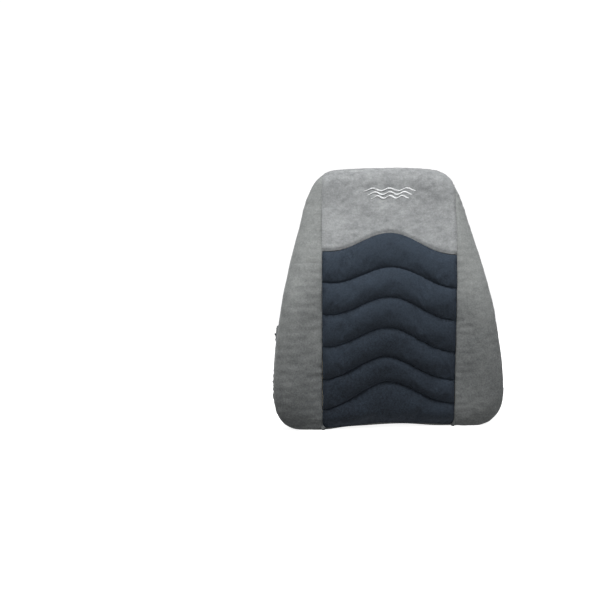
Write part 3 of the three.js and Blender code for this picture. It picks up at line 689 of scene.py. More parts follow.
def cross_run(across):
    """Where the cross seam is along the right side's outline, for each place across the band."""
    rise = (cross_back - cross_front) * np.asarray(across) ** cross_bend
    return side_run + rise


def band_lift(points, across, cross_gap, seed):
    """Dips at the two long seams and the cross seam, with short puckers beside the cross seam."""
    x, y, z = points[..., 0], points[..., 1], points[..., 2]
    depth = band_depth(z)
    puckers = ripples(z * 1.2 + 0.3 * y, y * 0.7, 13 * MM, seed) * np.exp(-((cross_gap / (26 * MM)) ** 2))
    near_front = np.exp(-((across / 0.45) ** 2))
    return (
        seam_dip(across * depth, 1.4 * MM, 3 * MM)
        + seam_dip((1 - across) * depth, 1.4 * MM, 3 * MM)
        + seam_dip(cross_gap, 1.6 * MM, 2.6 * MM)
        + 0.55 * MM * puckers * (0.35 + near_front)
        + 0.4 * MM * ripples(z + x, y, 60 * MM, seed + 1)
    )


def band_piece(name, node, from_run, to_run, rows, columns, seed):
    """The band between two lines across it, each a function of the place across."""
    across = np.linspace(0, 1, rows)[:, None]
    t = even_columns(columns, 0.25)[None, :] * 0.5 + 0.5
    start, end = from_run(across), to_run(across)
    run = mix(start, end, t)
    cross_gap = np.minimum(run - start, end - run)
    points = on_band(run, across + 0 * run)
    points = lifted(points, -band_lift(points, across + 0 * run, cross_gap, seed))
    piece = cloth_object(name, points, outward=-1)
    stands_for(piece, node)
    return piece


seam_half = 0.2 * MM
band_main = band_piece(
    "side_band_cloth",
    "side_band_main",
    lambda w: cross_run(w) + seam_half,
    lambda w: perimeter - cross_run(w) - seam_half,
    44,
    720,
    51,
)
band_foot_piece = band_piece(
    "foot_band_cloth",
    "side_band_bottom",
    lambda w: cross_run(w) * -1 + seam_half,
    lambda w: cross_run(w) - seam_half,
    60,
    420,
    61,
)
print("band faces", len(band_main.data.polygons), len(band_foot_piece.data.polygons))

# %% [markdown]
# ## The back and what is inside
# The back is plain velour, flat against the chair, in two panels with the zip's mouth between
# them. Foam and wadding are hidden, but they are real pieces, so each is a closed body a little
# smaller than the cloth around it.


# %% Back panels
def back_edge(run):
    """The back seam's place on the outline's plane."""
    return on_outline(run) + inwards(run) * back_rounding(run)[0][..., None]


zip_height, zip_length, zip_mouth, stop_length = 62 * MM, 290 * MM, 11 * MM, 3 * MM


def mouth_half(x):
    """Half the opening between the two back panels: open over the zip, closed beyond its ends."""
    inside = smooth((zip_length / 2 + stop_length + 4 * MM - np.abs(x)) / (4 * MM))
    return mix(0.15 * MM, zip_mouth / 2, inside)


def back_piece(name, node, side, rows, columns, seed):
    """A flat panel from the zip's mouth to the back seam: columns of points between two edges."""
    run_from = np.interp(zip_height, *zip_side_run)
    if side > 0:
        rim = back_edge(np.linspace(run_from, perimeter - run_from, columns))[::-1]
    else:
        rim = back_edge(np.linspace(-run_from, run_from, columns))
    mouth_x = np.linspace(rim[0, 0], rim[-1, 0], columns)
    mouth = np.stack([mouth_x, zip_height + side * mouth_half(mouth_x)], axis=1)
    t = (1 - (1 - np.linspace(0, 1, rows)) ** 1.15)[:, None, None]
    flat = mix(mouth[None], rim[None], t)
    x, z = flat[..., 0], flat[..., 1]
    height_gap = np.abs(z - zip_height) - mouth_half(x)
    rim_gap = np.linalg.norm(flat - rim[None], axis=-1)
    lift = (
        seam_dip(rim_gap, 1.2 * MM, 3 * MM)
        + seam_dip(height_gap, 0.8 * MM, 2.5 * MM)
        - 0.25 * MM
        + 0.2 * MM * ripples(x, z, 90 * MM, seed)
        + 0.06 * MM * ripples(x, z, 15 * MM, seed + 1)
    )
    points = np.stack([x, back_y + np.minimum(lift, 0), z], axis=-1)
    piece = cloth_object(name, points, outward=-side)
    stands_for(piece, node)
    return piece


side_samples = np.linspace(0.15, 0.45, 400)
zip_side_run = (back_edge(side_samples)[:, 1], side_samples)
back_upper = back_piece("back_upper_cloth", "back_panel_upper", 1, 130, 260, 71)
back_lower = back_piece("back_lower_cloth", "back_panel_lower", -1, 30, 260, 81)
print("back faces", len(back_upper.data.polygons), len(back_lower.data.polygons))

# %% Foam and wadding
def closed_body(name, rings):
    """A closed mesh from rings of points: each ring is joined to the next, and the first and last
    ring are single points, the poles."""
    piece = smooth_object(name, rings, quads(closed_round(point_numbers(*rings.shape[:2]))).tolist())
    turn_outwards(piece.data, merge=0.01 * MM)
    return piece


foam_inset, foam_heel_gap, foam_back_gap, foam_wall_gap = 9.5 * MM, 3 * MM, 5 * MM, 4 * MM
ring_run = np.linspace(0, perimeter, 240, endpoint=False)
foam_rim = on_outline(ring_run) + inwards(ring_run) * foam_inset
foam_heart = np.array([0, 0.45 * height])
front_share = np.concatenate([np.linspace(0, 0.8, 14), np.linspace(0.84, 1, 9)])[:, None, None]
front_plane = foam_heart + (foam_rim - foam_heart) * front_share
foam_front_y = back_y - front_depth(front_plane[..., 0], front_plane[..., 1]) + foam_inset
foam_front = np.stack([front_plane[..., 0], foam_front_y, front_plane[..., 1]], axis=-1)
heel = back_rounding(ring_run)[0][:, None]
back_rim = on_outline(ring_run) + inwards(ring_run) * (heel + foam_heel_gap)
back_share = np.array([1, 0.7, 0.35, 0])[:, None, None]
back_plane = foam_heart + (back_rim - foam_heart) * back_share
foam_back_y = np.full(back_plane.shape[:-1], back_y - foam_back_gap)
foam_back = np.stack([back_plane[..., 0], foam_back_y, back_plane[..., 1]], axis=-1)
foam_wall = on_band(ring_run, np.array([0.25, 0.45, 0.6])[:, None] + 0 * ring_run)
foam_wall[..., (0, 2)] += inwards(ring_run) * foam_wall_gap
foam = closed_body("foam_block", np.concatenate([foam_front, foam_wall, foam_back]))
stands_for(foam, "foam_core")


def slab(name, top, bottom):
    """A closed slab between two grids of the same size: both faces and the strips round the edge."""
    index = point_numbers(2, *top.shape[:2])
    faces = [quads(index[0]), quads(index[1])[:, ::-1]]
    for upper, under in (
        (index[0, 0, ::-1], index[1, 0, ::-1]),
        (index[0, -1], index[1, -1]),
        (index[0, :, 0], index[1, :, 0]),
        (index[0, ::-1, -1], index[1, ::-1, -1]),
    ):
        faces.append(np.stack([upper[:-1], upper[1:], under[1:], under[:-1]], axis=-1))
    return smooth_object(name, np.concatenate([top, bottom]), np.concatenate(faces).tolist())


inner_rows, inner_columns = slice(3, -3, 3), slice(2, -2, 2)
wadding_gap, wadding_depth = 2.7 * MM, 8.0 * MM
wadding_top = lifted(quilt_surface, 0 * quilt_z - wadding_gap)[inner_rows, inner_columns]
wadding_under = lifted(quilt_flat, 0 * quilt_z - wadding_depth)[inner_rows, inner_columns]
wadding = slab("quilt_filling", wadding_top, wadding_under)
stands_for(wadding, "quilt_wadding")
print("foam faces", len(foam.data.polygons), "wadding faces", len(wadding.data.polygons))

# %% [markdown]
# ## Webbing and buckle
# The strap is flat ribbed webbing. It is a strip carried along a path, with rounded edges. The
# buckle's halves keep their imported shapes, but moulded plastic has no razor edges, so a copy of
# each is merged, its flat faces are joined, and its edges are rounded. The joints say where the
# buckle is and which way it points.

# %% Webbing helper
web_width, web_thick, web_clear = 25 * MM, 1.4 * MM, 0.3 * MM


def smooth_path(points, steps):
    """A curve through the points: each stretch mixes four points by the Catmull-Rom weights."""
    p = np.vstack([2 * points[0] - points[1], points, 2 * points[-1] - points[-2]])
    t = np.linspace(0, len(points) - 1 - 1e-9, steps)
    i = t.astype(int)
    f = (t - i)[:, None]
    a, b, c, d = p[i], p[i + 1], p[i + 2], p[i + 3]
    return 0.5 * (2 * b + (c - a) * f + (2 * a - 5 * b + 4 * c - d) * f**2 + (3 * b - a - 3 * c + d) * f**3)


def webbing(name, middles, acrosses, steps):
    """A strip: at each step of the path, a flat oval of points, wide along `across`."""
    middles, acrosses = np.array(middles), np.array(acrosses)
    middle = smooth_path(middles, steps)
    across = unit(smooth_path(acrosses, steps))
    ahead = unit(np.gradient(middle, axis=0))
    out = unit(np.cross(across, ahead))
    across = np.cross(ahead, out)
    side = np.linspace(-1, 1, 15)
    top = np.stack([side * web_width / 2, web_thick / 2 * np.sqrt(1 - 0.75 * np.abs(side) ** 9)], axis=1)
    ring = np.vstack([top, top[::-1] * (1, -1)])
    points = middle[:, None] + across[:, None] * ring[:, :1] + out[:, None] * ring[:, 1:]
    index = point_numbers(steps, len(ring))
    faces = quads(closed_round(index)).tolist() + [index[0].tolist(), index[-1, ::-1].tolist()]
    piece = smooth_object(name, points, faces)
    mesh = piece.data
    uv = np.stack([np.tile(ring[:, 0], steps), np.repeat(along(middle), len(ring))], axis=1)
    corner = np.empty(len(mesh.loops), np.int32)
    mesh.loops.foreach_get("vertex_index", corner)
    mesh.uv_layers.new(name="weave").data.foreach_set("uv", uv[corner].reshape(-1).astype(np.float32))
    turn_outwards(mesh)
    return piece, middle, across, out


# %% The buckle's own directions, read from its joints
joints = {j["name"]: j for j in frame["joints"]}
hinge_upper, hinge_lower = (np.array(joints[f"prong_{w}_squeeze"]["pos_m"]) for w in ("upper", "lower"))
mouth = (hinge_upper + hinge_lower) / 2
buckle_across = unit(hinge_upper - hinge_lower)
buckle_along = unit(np.array(joints["buckle_release"]["axis"], float))
buckle_out = np.cross(buckle_across, buckle_along)


def in_buckle(x, y):
    """A point x along the webbing and y away from the cushion, from the middle of the mouth."""
    return mouth + buckle_along * x + buckle_out * y


socket_depth, buckle_wall, plug_play, plug_front = 19.5 * MM, 1.8 * MM, 0.35 * MM, 5 * MM
bar_radius, slot_gap = 1.7 * MM, 3.7 * MM
layer = web_clear + web_thick / 2
loop_radius = bar_radius + layer
next_layer = web_thick + web_clear + 0.1 * MM
socket_bar = -socket_depth - buckle_wall - slot_gap - bar_radius
inner_bar = plug_play + plug_front + slot_gap + bar_radius
outer_bar = inner_bar + slot_gap + 2 * bar_radius
seam_height, back_height = 170 * MM, 152 * MM
up = np.array([0, 0, 1.0])
print("mouth of the buckle", mouth.round(4), "along", buckle_along.round(3))


# %% Short strap, from the left seam to the socket
def wall(z):
    """The left wall's point at a height."""
    return np.array([-np.interp(z, right_half[wall_part, 1], right_half[wall_part, 0]), 0, z])


wall_up = unit(wall(seam_height + web_width / 2) - wall(seam_height - web_width / 2))
wall_out = unit(np.cross(wall_up, (0, 1, 0)))
wall_out = wall_out if wall_out[0] < 0 else -wall_out
seam_y = back_y - band_depth(seam_height)
strap_start = wall(seam_height) * (1, 0, 1) + (0, seam_y + 0.3 * MM, 0) - wall_out * 1.4 * MM
bar_middle = in_buckle(socket_bar, 0)
towards = bar_middle - strap_start
towards = unit(towards - buckle_across * (towards @ buckle_across))
beside = np.cross(buckle_across, towards)
beside = beside if beside[0] < 0 else -beside


def round_bar(degrees):
    """The webbing's middle on its way round the socket's bar."""
    a = math.radians(degrees)
    return bar_middle + beside * loop_radius * math.cos(a) + towards * loop_radius * math.sin(a)


middles = [strap_start]  # it comes up out of the seam within 12 mm
middles += [mix(strap_start + wall_out * 2.7 * MM, round_bar(0), t) for t in (0.17, 0.35, 0.65, 0.9)]
acrosses = [unit(mix(wall_up, buckle_across, t)) for t in (0, 0.17, 0.35, 0.65, 0.9)]
middles += [round_bar(a) for a in np.linspace(0, 180, 9)]
for t in (0.35, 0.7, 1):
    close = mix(-2 * loop_radius, -web_thick - web_clear, smooth(1.4 * t))
    middles.append(round_bar(0) - towards * t * 13 * MM + beside * close)
acrosses += [buckle_across] * 12
short_strap, short_middle, short_across, short_out = webbing("short_strap", middles, acrosses, 110)
stands_for(short_strap, "strap_short")
short_length = float(along(short_middle)[-1])
print("short strap", round(short_length, 4), "m")

# %% Long strap, from the plug across the back to the right seam
landing_start = in_buckle(outer_bar + bar_radius, -loop_radius - next_layer)
landing_length, overlap_end = 95 * MM, 62 * MM
landing_end = np.array([landing_start[0] + landing_length, back_y + layer, back_height])
pull = 0.4 * landing_length
leaving, arriving = landing_start + buckle_along * pull * 0.4, landing_end - (pull, 0, 0)
landing = bezier(landing_start, leaving, arriving, landing_end, 60)
landing_run = along(landing)


def on_landing(share, lift):
    """A station on the way down from the buckle to the back, lifted off it."""
    at = share * landing_run[-1]
    point, ahead = (
        np.array([np.interp(at, landing_run, column) for column in grid.T])
        for grid in (landing, np.gradient(landing, axis=0))
    )
    across = unit(mix(buckle_across, up, smooth(share)))
    return point + unit(np.cross(across, ahead)) * lift, across


overlap = np.array([1, 0.85, 0.7, 0.55, 0.4, 0.25, 0.1]) * overlap_end / landing_run[-1]
stations = [on_landing(t, next_layer) for t in overlap]
stations += [(in_buckle(outer_bar, -loop_radius), buckle_across)]
stations += [(in_buckle(inner_bar + loop_radius + 1.2 * MM, -0.72 * loop_radius), buckle_across)]
for angle in np.radians(np.linspace(0, 190, 9)):
    turn = in_buckle(inner_bar + loop_radius * math.cos(angle), loop_radius * math.sin(angle))
    stations.append((turn, buckle_across))
low = -loop_radius - next_layer
for x, y in ((inner_bar - 2.2 * MM, 0.66 * low), (inner_bar - 0.2 * MM, low), (outer_bar - 2 * MM, low)):
    stations.append((in_buckle(x, y), buckle_across))
stations += [on_landing(t, 0) for t in np.linspace(0, 0.98, 11)]
right_x = np.interp(back_height, right_half[wall_part, 1], right_half[wall_part, 0])
for x in np.linspace(landing_end[0] + 5 * MM, right_x - back_round - 2 * MM, 14):
    stations.append((np.array([x, back_y + layer, back_height]), up))
for w in np.linspace(0.97, 0.012, 24):
    flat_y = back_y - back_round
    z = back_height
    for _ in range(3):  # the strap rises towards the seam as it goes forwards
        run = np.interp(z, right_half[wall_part, 1], outline_run[wall_part])
        y = on_band(run, np.array(w))[1]
        z = mix(back_height, seam_height, max(0, (flat_y - y) / (flat_y - seam_y)))
    run = np.array(np.interp(z, right_half[wall_part, 1], outline_run[wall_part]))
    here = on_band(run, np.array(w))
    outward = np.cross(on_band(run, np.array(w + 0.01)) - here, on_band(run + MM, np.array(w)) - here)
    outward = unit(outward) * np.sign(outward @ (here - (0, 0, here[2])))
    along_wall = unit(on_band(run + MM, np.array(w)) - here)
    sunk = 2.6 * MM * math.exp(-(((seam_y - here[1]) / (9 * MM)) ** 2))  # it goes into the seam
    stations.append((here + outward * (layer - sunk), along_wall))
middles, acrosses = zip(*stations)
long_strap, long_middle, _, _ = webbing("long_strap", middles, acrosses, 420)
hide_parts("strap_long")
long_length = float(along(long_middle)[-1])
bend_start = in_buckle(outer_bar + 6 * MM, 0)
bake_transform(long_strap)
print("long strap", round(long_length, 4), "m")


# %% Moulded and cast pieces
def rounded_copy(node, name, edge, body, segments=3):
    """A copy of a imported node: doubles merged, flat faces joined, and edges over 25 degrees rounded."""
    shape = bmesh.new()
    shape.from_mesh(frame["nodes"][node].data)
    bmesh.ops.remove_doubles(shape, verts=shape.verts, dist=0.005 * MM)
    bmesh.ops.dissolve_limit(shape, angle_limit=math.radians(1), verts=shape.verts, edges=shape.edges)
    mesh = bpy.data.meshes.new(name)
    shape.to_mesh(mesh)
    shape.free()
    mesh.polygons.foreach_set("use_smooth", np.ones(len(mesh.polygons), bool))
    piece = new_object(name, mesh)
    rounding = piece.modifiers.new("rounded edges", "BEVEL")
    rounding.width = edge
    rounding.segments = segments
    rounding.limit_method = "ANGLE"
    rounding.angle_limit = math.radians(25)
    rounding.use_clamp_overlap = True
    rounding.harden_normals = True
    return stands_for(piece, node, body=body)


socket = rounded_copy("buckle_socket", "socket_moulding", 0.7 * MM, "cushion")
plug = rounded_copy("buckle_plug", "plug_moulding", 0.5 * MM, "buckle_plug")
prong_upper = rounded_copy("buckle_prong_upper", "upper_prong", 0.5 * MM, "prong_upper")
prong_lower = rounded_copy("buckle_prong_lower", "lower_prong", 0.5 * MM, "prong_lower")
slider = rounded_copy("zip_slider", "slider_casting", 0.25 * MM, "zip_slider")
pull_tab = rounded_copy("zip_pull", "pull_tab", 0.3 * MM, "zip_pull")
stop_left = rounded_copy("zip_stop_left", "left_stop_clip", 0.4 * MM, "cushion")
stop_right = rounded_copy("zip_stop_right", "right_stop_clip", 0.4 * MM, "cushion")
print("moulded pieces", [len(o.data.polygons) for o in (socket, plug, prong_upper, slider, pull_tab)])

# %% [markdown]
# ## Zip
# The zip has two woven tapes. Along the inner edge of each runs a coil of nylon thread, sewn on,
# whose loops lock into the other row's loops. A loop is a short bent tube, repeated along the
# chain, half a step out of line with the loops opposite.


# %% Tapes and coils
def tubes(name, paths, radius, sides=6):
    """Many short tubes in one mesh. Each path's rings are turned square to it, and its ends are closed."""
    ahead = unit(np.gradient(paths, axis=1))
    helper = np.where(np.abs(ahead[..., 2:]) > 0.9, (1.0, 0, 0), (0, 0, 1.0))
    first = unit(np.cross(ahead, helper))
    second = np.cross(ahead, first)
    angle = np.arange(sides) * 2 * np.pi / sides
    ring = first[:, :, None] * np.cos(angle)[:, None] + second[:, :, None] * np.sin(angle)[:, None]
    radius = np.broadcast_to(radius, paths.shape[1])[None, :, None, None]
    points = paths[:, :, None] + ring * radius
    index = point_numbers(*paths.shape[:2], sides)
    around = np.roll(index, -1, axis=2)
    walls = np.stack([index[:, :-1], around[:, :-1], around[:, 1:], index[:, 1:]], axis=-1).reshape(-1, 4)
    faces = walls.tolist() + index[:, 0, ::-1].tolist() + index[:, -1].tolist()
    return smooth_object(name, points, faces)


tape_width, tape_thick, tooth_step, tape_edge = 13 * MM, 0.8 * MM, 1.25 * MM, 0.1 * MM
tape_y = back_y - 1.2 * MM - 0.4 * MM - tape_thick / 2
tooth_x = np.arange(-zip_length / 2 + tooth_step, zip_length / 2 - tooth_step / 2, tooth_step)
for side, label in ((1, "upper"), (-1, "lower")):
    across = np.linspace(tape_edge, tape_width, 14)
    x = np.linspace(-zip_length / 2, zip_length / 2, 150)
    grid_x, grid_a = np.meshgrid(x, across)
    y = tape_y + tape_thick / 2 - 0.15 * MM * (np.abs(grid_a - 7 * MM) < 5 * MM)
    points = np.stack([grid_x, y, zip_height + side * grid_a], axis=-1)
    tape = cloth_object(f"{label}_tape", points, -side, tape_thick - tape_edge, 0)
    stands_for(tape, f"zip_tape_{label}")
    turn = np.linspace(-0.8, 0.8, 5) * np.pi
    loop_z = zip_height + side * (2.2 * MM - 1.25 * MM * np.cos(turn / 1.6))
    loop_y = tape_y + tape_thick / 2 + 0.35 * MM + 0.45 * MM * np.sin(turn / 1.6)
    centre_x = tooth_x[:, None] + (0 if side > 0 else tooth_step / 2) + 0.18 * MM * turn[None] / np.pi
    paths = np.stack(np.broadcast_arrays(centre_x, loop_y[None], loop_z[None]), axis=-1)
    coil = tubes(f"{label}_coil", paths, 0.34 * MM)
    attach(coil, "cushion")
print("zip loops", 2 * len(tooth_x), "faces each", len(coil.data.polygons) // len(tooth_x))

# %% [markdown]
# ## Stitches
# A stitch is a short plump thread that dips into the cloth at both ends. The quilting, the cross
# seams and the strap's sewn fold all use the same one, placed along a line.


# %% Stitch helper
def stitches(name, line, normal, pitch, radius, body="cushion", lift=0.1 * MM):
    """Stitches along a line: from each place on it to 0.78 of the pitch further on, humped by one radius."""
    run = along(line)
    start = np.arange(0.3 * pitch, run[-1] - pitch, pitch)
    share = np.array([0, 0.12, 0.5, 0.88, 1])
    at = start[:, None] + share * 0.78 * pitch
    points = np.stack([np.interp(at, run, line[:, k]) for k in range(3)], axis=-1)
    out = unit(np.stack([np.interp(at, run, normal[:, k]) for k in range(3)], axis=-1))
    hump = np.array([-1.2, 0.0, 0.55, 0.0, -1.2]) * radius + lift
    piece = tubes(name, points + out * hump[:, None], radius * np.array([0.45, 0.95, 1.1, 0.95, 0.45]))
    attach(piece, body)
    return piece


quilt_out = grid_normals(quilt_flat)
quilt_threads = []
for row in seam_rows[1:-1]:
    line, out = (smooth_path(grid[row, 2:-2], 500) for grid in (quilt_surface, quilt_out))
    thread = stitches(f"quilting_thread_{row}", line, out, 3.4 * MM, 0.32 * MM, lift=0.2 * MM)
    quilt_threads.append(thread)

band_threads = []
for side, label in ((1, "right"), (-1, "left")):
    for offset, row in ((3.2 * MM, "over"), (-3.2 * MM, "under")):
        w = np.linspace(0.03, 0.97, 160)
        run = cross_run(w) + offset
        here = on_band(run, w)
        out = unit(np.cross(on_band(run, w + 0.01) - here, on_band(run + MM, w) - here))
        out *= np.sign(out[:, :1])
        line, out = here * (side, 1, 1), out * (side, 1, 1)
        name = f"cross_seam_{label}_{row}"
        band_threads.append(stitches(name, line, out, 3.2 * MM, 0.3 * MM))


def box_stitch(name, middle, across, out, half_width):
    """Two rows along a stretch of webbing and two across it, standing on its outer face."""
    face = web_thick / 2
    left, right = middle - across * half_width, middle + across * half_width
    line = np.vstack([left, right[::-1], left[:1]])
    normal = np.vstack([out, out[::-1], out[:1]])
    return stitches(name, line + normal * face, normal, 2.6 * MM, 0.28 * MM)


seam_part = slice(6, 22)
box_middle, box_across, box_out = (a[seam_part] for a in (short_middle, short_across, short_out))
box_out = box_out * np.sign((box_out * wall_out).sum(1, keepdims=True))
short_box = box_stitch("seam_box_thread", box_middle, box_across, box_out, 9.5 * MM)
print("stitch pieces", len(quilt_threads) + len(band_threads) + 1)

# %% [markdown]
# ## Embroidery
# The light panel carries a small white motif of three stacked waves. Satin embroidery is a row of
# threads laid side by side across a line, so each wave is a row of slanting stitches.

# %% Wave motif
motif_threads = []
motif_half, motif_middle, motif_level = 45 * MM, 9 * MM, 407 * MM
t = np.linspace(-1, 1, 170)
share = np.array([-1, -0.8, 0, 0.8, 1])
for level in range(3):
    x = motif_middle + t * motif_half * (1 - 0.14 * level)
    z = motif_level - (level - 1) * 6.6 * MM + 2.3 * MM * np.cos(3 * np.pi * t)
    half = 1.25 * MM * np.sqrt(np.clip(1 - t**6, 0.12, 1))
    slant_x = x[:, None] + 0.9 * MM * share
    slant_z = z[:, None] + half[:, None] * share
    hump = np.array([-0.25, 0.15, 0.42, 0.15, -0.25]) * MM
    motif_threads.append(on_front(slant_x, slant_z) - (0, 1, 0) * hump[None, :, None])
motif = tubes("wave_motif", np.concatenate(motif_threads), 0.36 * MM * np.array([0.6, 1, 1, 1, 0.6]), 5)
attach(motif, "cushion")
print("motif faces", len(motif.data.polygons))

# %% [markdown]
# ## Finishes
# Every finish is built from noise and waves on the piece's own place, so it needs no picture. A
# small class wraps a socket, so that shader arithmetic can be written as plain expressions, and
# one method adds any other node.


# %% Arithmetic on sockets
class Amount:
    """A number that varies over the surface. Each operator adds a Math node to the material."""

    def __init__(self, finish, socket):
        self.finish, self.socket = finish, socket

    def math(self, operation, first, second=None):
        values = {0: first} if second is None else {0: first, 1: second}
        node = self.finish.node("Math", {"operation": operation}, values)
        return Amount(self.finish, node.outputs[0])

    def __add__(self, other):
        return self.math("ADD", self, other)

    def __sub__(self, other):
        return self.math("SUBTRACT", self, other)

    def __rsub__(self, other):
        return self.math("SUBTRACT", other, self)

    def __mul__(self, other):
        return self.math("MULTIPLY", self, other)

    def sine(self):
        return self.math("SINE", self)

    def span(self, low, high):
        """0 at low, 1 at high, smoothly between and level beyond."""
        settings = {"interpolation_type": "SMOOTHSTEP"}
        node = self.finish.node("MapRange", settings, {"Value": self, "From Min": low, "From Max": high})
        return Amount(self.finish, node.outputs["Result"])

    __radd__ = __add__
    __rmul__ = __mul__


class Finish:
    """A material being made."""

    def __init__(self, name, **fixed):
        self.material = bpy.data.materials.new(name)
        self.material.use_nodes = True
        self.tree = self.material.node_tree
        self.shader = self.tree.nodes["Principled BSDF"]
        for socket, value in fixed.items():
            self.feed(self.shader.inputs[socket.replace("_", " ")], value)

    def feed(self, socket, value):
        if isinstance(value, Amount):
            value = value.socket
        if isinstance(value, bpy.types.NodeSocket):
            self.tree.links.new(value, socket)
        elif isinstance(value, tuple) and len(value) == 3 and socket.type == "RGBA":
            socket.default_value = (*value, 1)
        else:
            socket.default_value = value

    def node(self, kind, settings, values):
        """Adds a node: its settings first, then a value or a link for each named socket."""
        node = self.tree.nodes.new("ShaderNode" + kind)
        for name, value in settings.items():
            setattr(node, name, value)
        for socket, value in values.items():
            self.feed(node.inputs[socket], value)
        return node

    def place(self, stretch=(1, 1, 1)):
        """The piece's own place, in metres, stretched."""
        where = self.node("TexCoord", {}, {}).outputs["Object"]
        return self.node("Mapping", {}, {"Vector": where, "Scale": stretch}).outputs[0]

    def noise(self, vector, scale, detail=2.0, roughness=0.55):
        values = {"Vector": vector, "Scale": scale, "Detail": detail, "Roughness": roughness}
        return Amount(self, self.node("TexNoise", {}, values).outputs["Fac"])

    def mix(self, amount, first, second):
        """A colour mixed between two."""
        values = {"Factor": amount, 6: first, 7: second}
        return self.node("Mix", {"data_type": "RGBA", "clamp_factor": True}, values).outputs[2]

    def height(self, amount, distance, strength=1.0):
        """A bumpy normal from a height."""
        values = {"Height": amount, "Distance": distance, "Strength": strength}
        self.feed(self.shader.inputs["Normal"], self.node("Bump", {}, values).outputs[0])

    def colour(self, value):
        self.feed(self.shader.inputs["Base Color"], value)

    def roughness(self, value):
        self.feed(self.shader.inputs["Roughness"], value)


def paint(material, *pieces):
    for piece in pieces:
        piece.data.materials.clear()
        piece.data.materials.append(material)


# %% [markdown]
# ## Velour
# Velour is a knit with a brushed pile. Where the pile leans away it looks dark and where it leans
# towards you it looks pale, so a hand leaves smudges a centimetre or two wide. Close up, the pile
# breaks into fine grains. The sheen on grazing faces is the pile's tips catching the light.

# %% Velour finishes
def velour(name, deep, pale, smudge=1.0, cloudiness=1.0, sheen=0.3, low=0.0, tips=(0.8, 0.82, 0.85)):
    """Pile: the tone is the sum of wide clouds, smudges, and two sizes of grain, less `low` at the foot: a
    painted shade, darker towards the floor as if lit from above.
    """
    finish = Finish(name, Sheen_Weight=sheen, Sheen_Roughness=0.45, Sheen_Tint=tips, Specular_IOR_Level=0.15)
    place, brushed = finish.place(), finish.place((1.0, 1.0, 1.7))
    clouds = finish.noise(place, 9, 2) - 0.5
    smudges = finish.noise(brushed, 60, 5, 0.68) - 0.5
    grain = finish.noise(place, 330, 4, 0.75) - 0.5
    fibres = finish.noise(place, 1900, 2) - 0.5
    tone = 0.5 + clouds * (0.8 * cloudiness) + smudges * (1.3 * smudge) + grain + fibres * 0.5
    # Painted shade: the tone darkens from 0.3 m down to the floor, standing in for the light falling from
    # above.
    if low:
        where = finish.node("SeparateXYZ", {}, {"Vector": place})
        tone = tone - (1 - Amount(finish, where.outputs[2]).span(0.0, 0.30)) * low
    finish.colour(finish.mix(tone, deep, pale))
    finish.roughness(0.82 + smudges * 0.25)
    finish.height(smudges * 0.5 * smudge + grain * 0.6 + fibres * 0.35, 0.8 * MM, 0.5)
    return finish.material


# The grey's last number, 0.36, is painted shade: its tone darkens towards the foot as if lit from above.
grey_velour = velour("grey_velour", (0.105, 0.112, 0.114), (0.345, 0.358, 0.348), 0.45, 0.7, 0.25, 0.36)
light_velour = velour("light_velour", (0.145, 0.15, 0.155), (0.375, 0.388, 0.390), 1.1, 0.9, 0.25)
navy_deep, navy_pale, navy_tips = (0.006, 0.009, 0.014), (0.045, 0.062, 0.086), (0.32, 0.42, 0.58)
# The navy's 0.30 after its sheen is painted shade: its tone darkens towards the foot as if lit from above.
navy_velour = velour("navy_velour", navy_deep, navy_pale, 0.3, 0.6, 0.10, 0.30, navy_tips)
paint(grey_velour, bolster_left, bolster_right, band_main, band_foot_piece, back_upper, back_lower)
paint(light_velour, top_panel)
paint(navy_velour, quilt)


# %% Foam and wadding finishes
def foam_finish():
    """Cream foam: small open cells from a Voronoi pattern."""
    finish = Finish("cream_foam", Specular_IOR_Level=0.2)
    cells = finish.node("TexVoronoi", {}, {"Vector": finish.place(), "Scale": 900.0})
    depth = Amount(finish, cells.outputs["Distance"])
    finish.colour(finish.mix(depth.span(0.1, 0.7), (0.62, 0.55, 0.36), (0.80, 0.74, 0.55)))
    finish.roughness(0.9 - depth * 0.1)
    finish.height(depth, 0.4 * MM, 0.6)
    return finish.material


def wadding_finish():
    """White wadding: crossed fine fibres."""
    finish = Finish("white_wadding", Sheen_Weight=0.2, Specular_IOR_Level=0.2)
    fibres = finish.noise(finish.place((1, 1, 9)), 320, 3) + finish.noise(finish.place((9, 1, 1)), 300, 3)
    finish.colour(finish.mix(fibres - 0.5, (0.66, 0.66, 0.64), (0.85, 0.85, 0.83)))
    finish.roughness(0.95 - fibres * 0.05)
    finish.height(fibres, 0.5 * MM, 0.6)
    return finish.material


paint(foam_finish(), foam)
paint(wadding_finish(), wadding)


# %% Webbing, tape and thread finishes
def woven(name, layer, deep, pale, rib, pick):
    """Woven ribs: one sine wave across the strip for its warp, one along it for its weft."""
    finish = Finish(name, Sheen_Weight=0.12, Sheen_Roughness=0.4, Specular_IOR_Level=0.35)
    where = finish.node("UVMap", {"uv_map": layer}, {}).outputs[0]
    apart = finish.node("SeparateXYZ", {}, {"Vector": where})
    u, v = (Amount(finish, apart.outputs[k]) for k in (0, 1))
    warp = (u * (2 * math.pi / rib)).sine() * 0.5 + 0.5
    weft = (v * (2 * math.pi / pick) + (u * (math.pi / rib)).sine() * 1.2).sine() * 0.5 + 0.5
    wear = finish.noise(finish.place(), 60, 3)
    cloth = warp * 0.55 + weft * 0.45
    finish.colour(finish.mix(cloth * 0.8 + (wear - 0.5) * 0.9, deep, pale))
    finish.roughness(0.75 - cloth * 0.15)
    finish.height(cloth, 0.35 * MM, 0.8)
    return finish.material


def thread_finish(name, deep, pale):
    """Thread: fine noise, about the size of its fibres, on the thread's own place."""
    finish = Finish(name, Sheen_Weight=0.2, Specular_IOR_Level=0.4)
    twist = finish.noise(finish.place(), 2400, 2)
    finish.colour(finish.mix(twist, deep, pale))
    finish.roughness(0.6 - twist * 0.15)
    finish.height(twist, 0.1 * MM, 0.5)
    return finish.material


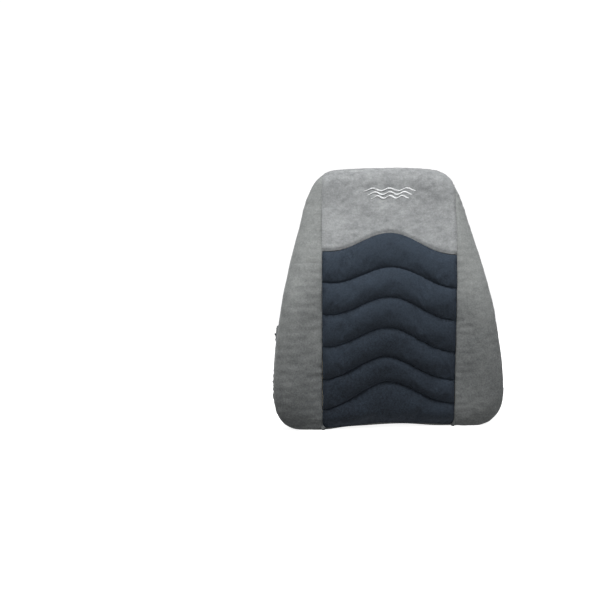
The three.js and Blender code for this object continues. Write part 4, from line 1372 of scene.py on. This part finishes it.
grey_webbing = woven("grey_webbing", "weave", (0.075, 0.085, 0.086), (0.20, 0.22, 0.215), 1.6 * MM, 1.1 * MM)
tape_weave = woven("zip_tape_weave", "cloth", (0.045, 0.05, 0.052), (0.10, 0.11, 0.115), 0.8 * MM, 0.8 * MM)
paint(grey_webbing, short_strap, long_strap)
paint(tape_weave, *(bpy.data.objects[f"{label}_tape"] for label in ("upper", "lower")))
coil_thread = thread_finish("zip_coil_nylon", (0.03, 0.033, 0.036), (0.075, 0.08, 0.085))
paint(coil_thread, *(bpy.data.objects[f"{label}_coil"] for label in ("upper", "lower")))
paint(thread_finish("navy_thread", (0.012, 0.015, 0.022), (0.04, 0.05, 0.07)), *quilt_threads)
paint(thread_finish("grey_thread", (0.16, 0.17, 0.17), (0.34, 0.35, 0.35)), *band_threads)
paint(thread_finish("webbing_thread", (0.05, 0.055, 0.056), (0.14, 0.15, 0.15)), short_box)
paint(thread_finish("white_thread", (0.62, 0.63, 0.64), (0.88, 0.89, 0.9)), motif)


# %% Plastic and metal finishes
def acetal():
    """Black moulded plastic: a fine spark-eroded grain, and faint flow clouds in its gloss."""
    finish = Finish("black_acetal", Specular_IOR_Level=0.5)
    clouds = finish.noise(finish.place(), 120, 3)
    grain = finish.noise(finish.place(), 2600, 2)
    finish.colour(finish.mix(clouds, (0.010, 0.012, 0.014), (0.022, 0.025, 0.028)))
    finish.roughness(0.24 + clouds * 0.16)
    finish.height(grain, 0.05 * MM, 0.35)
    return finish.material


def zip_alloy(name, deep, pale, rough):
    """Painted zip metal: worn paler where the noise is high, with fine scratches along the chain."""
    finish = Finish(name, Metallic=0.9)
    wear = finish.noise(finish.place(), 350, 4, 0.65)
    scratches = finish.noise(finish.place((1, 6, 14)), 500, 2)
    finish.colour(finish.mix(wear.span(0.45, 0.75), deep, pale))
    finish.roughness(rough + scratches * 0.2)
    finish.height(scratches, 0.03 * MM, 0.5)
    return finish.material


black_plastic = acetal()
paint(black_plastic, socket, plug, prong_upper, prong_lower)
paint(zip_alloy("gunmetal", (0.05, 0.052, 0.055), (0.16, 0.165, 0.17), 0.28), slider, pull_tab)
paint(zip_alloy("bright_alloy", (0.32, 0.32, 0.31), (0.55, 0.55, 0.54), 0.25), stop_left, stop_right)
print("finishes", len([m for m in bpy.data.materials if m.users]))
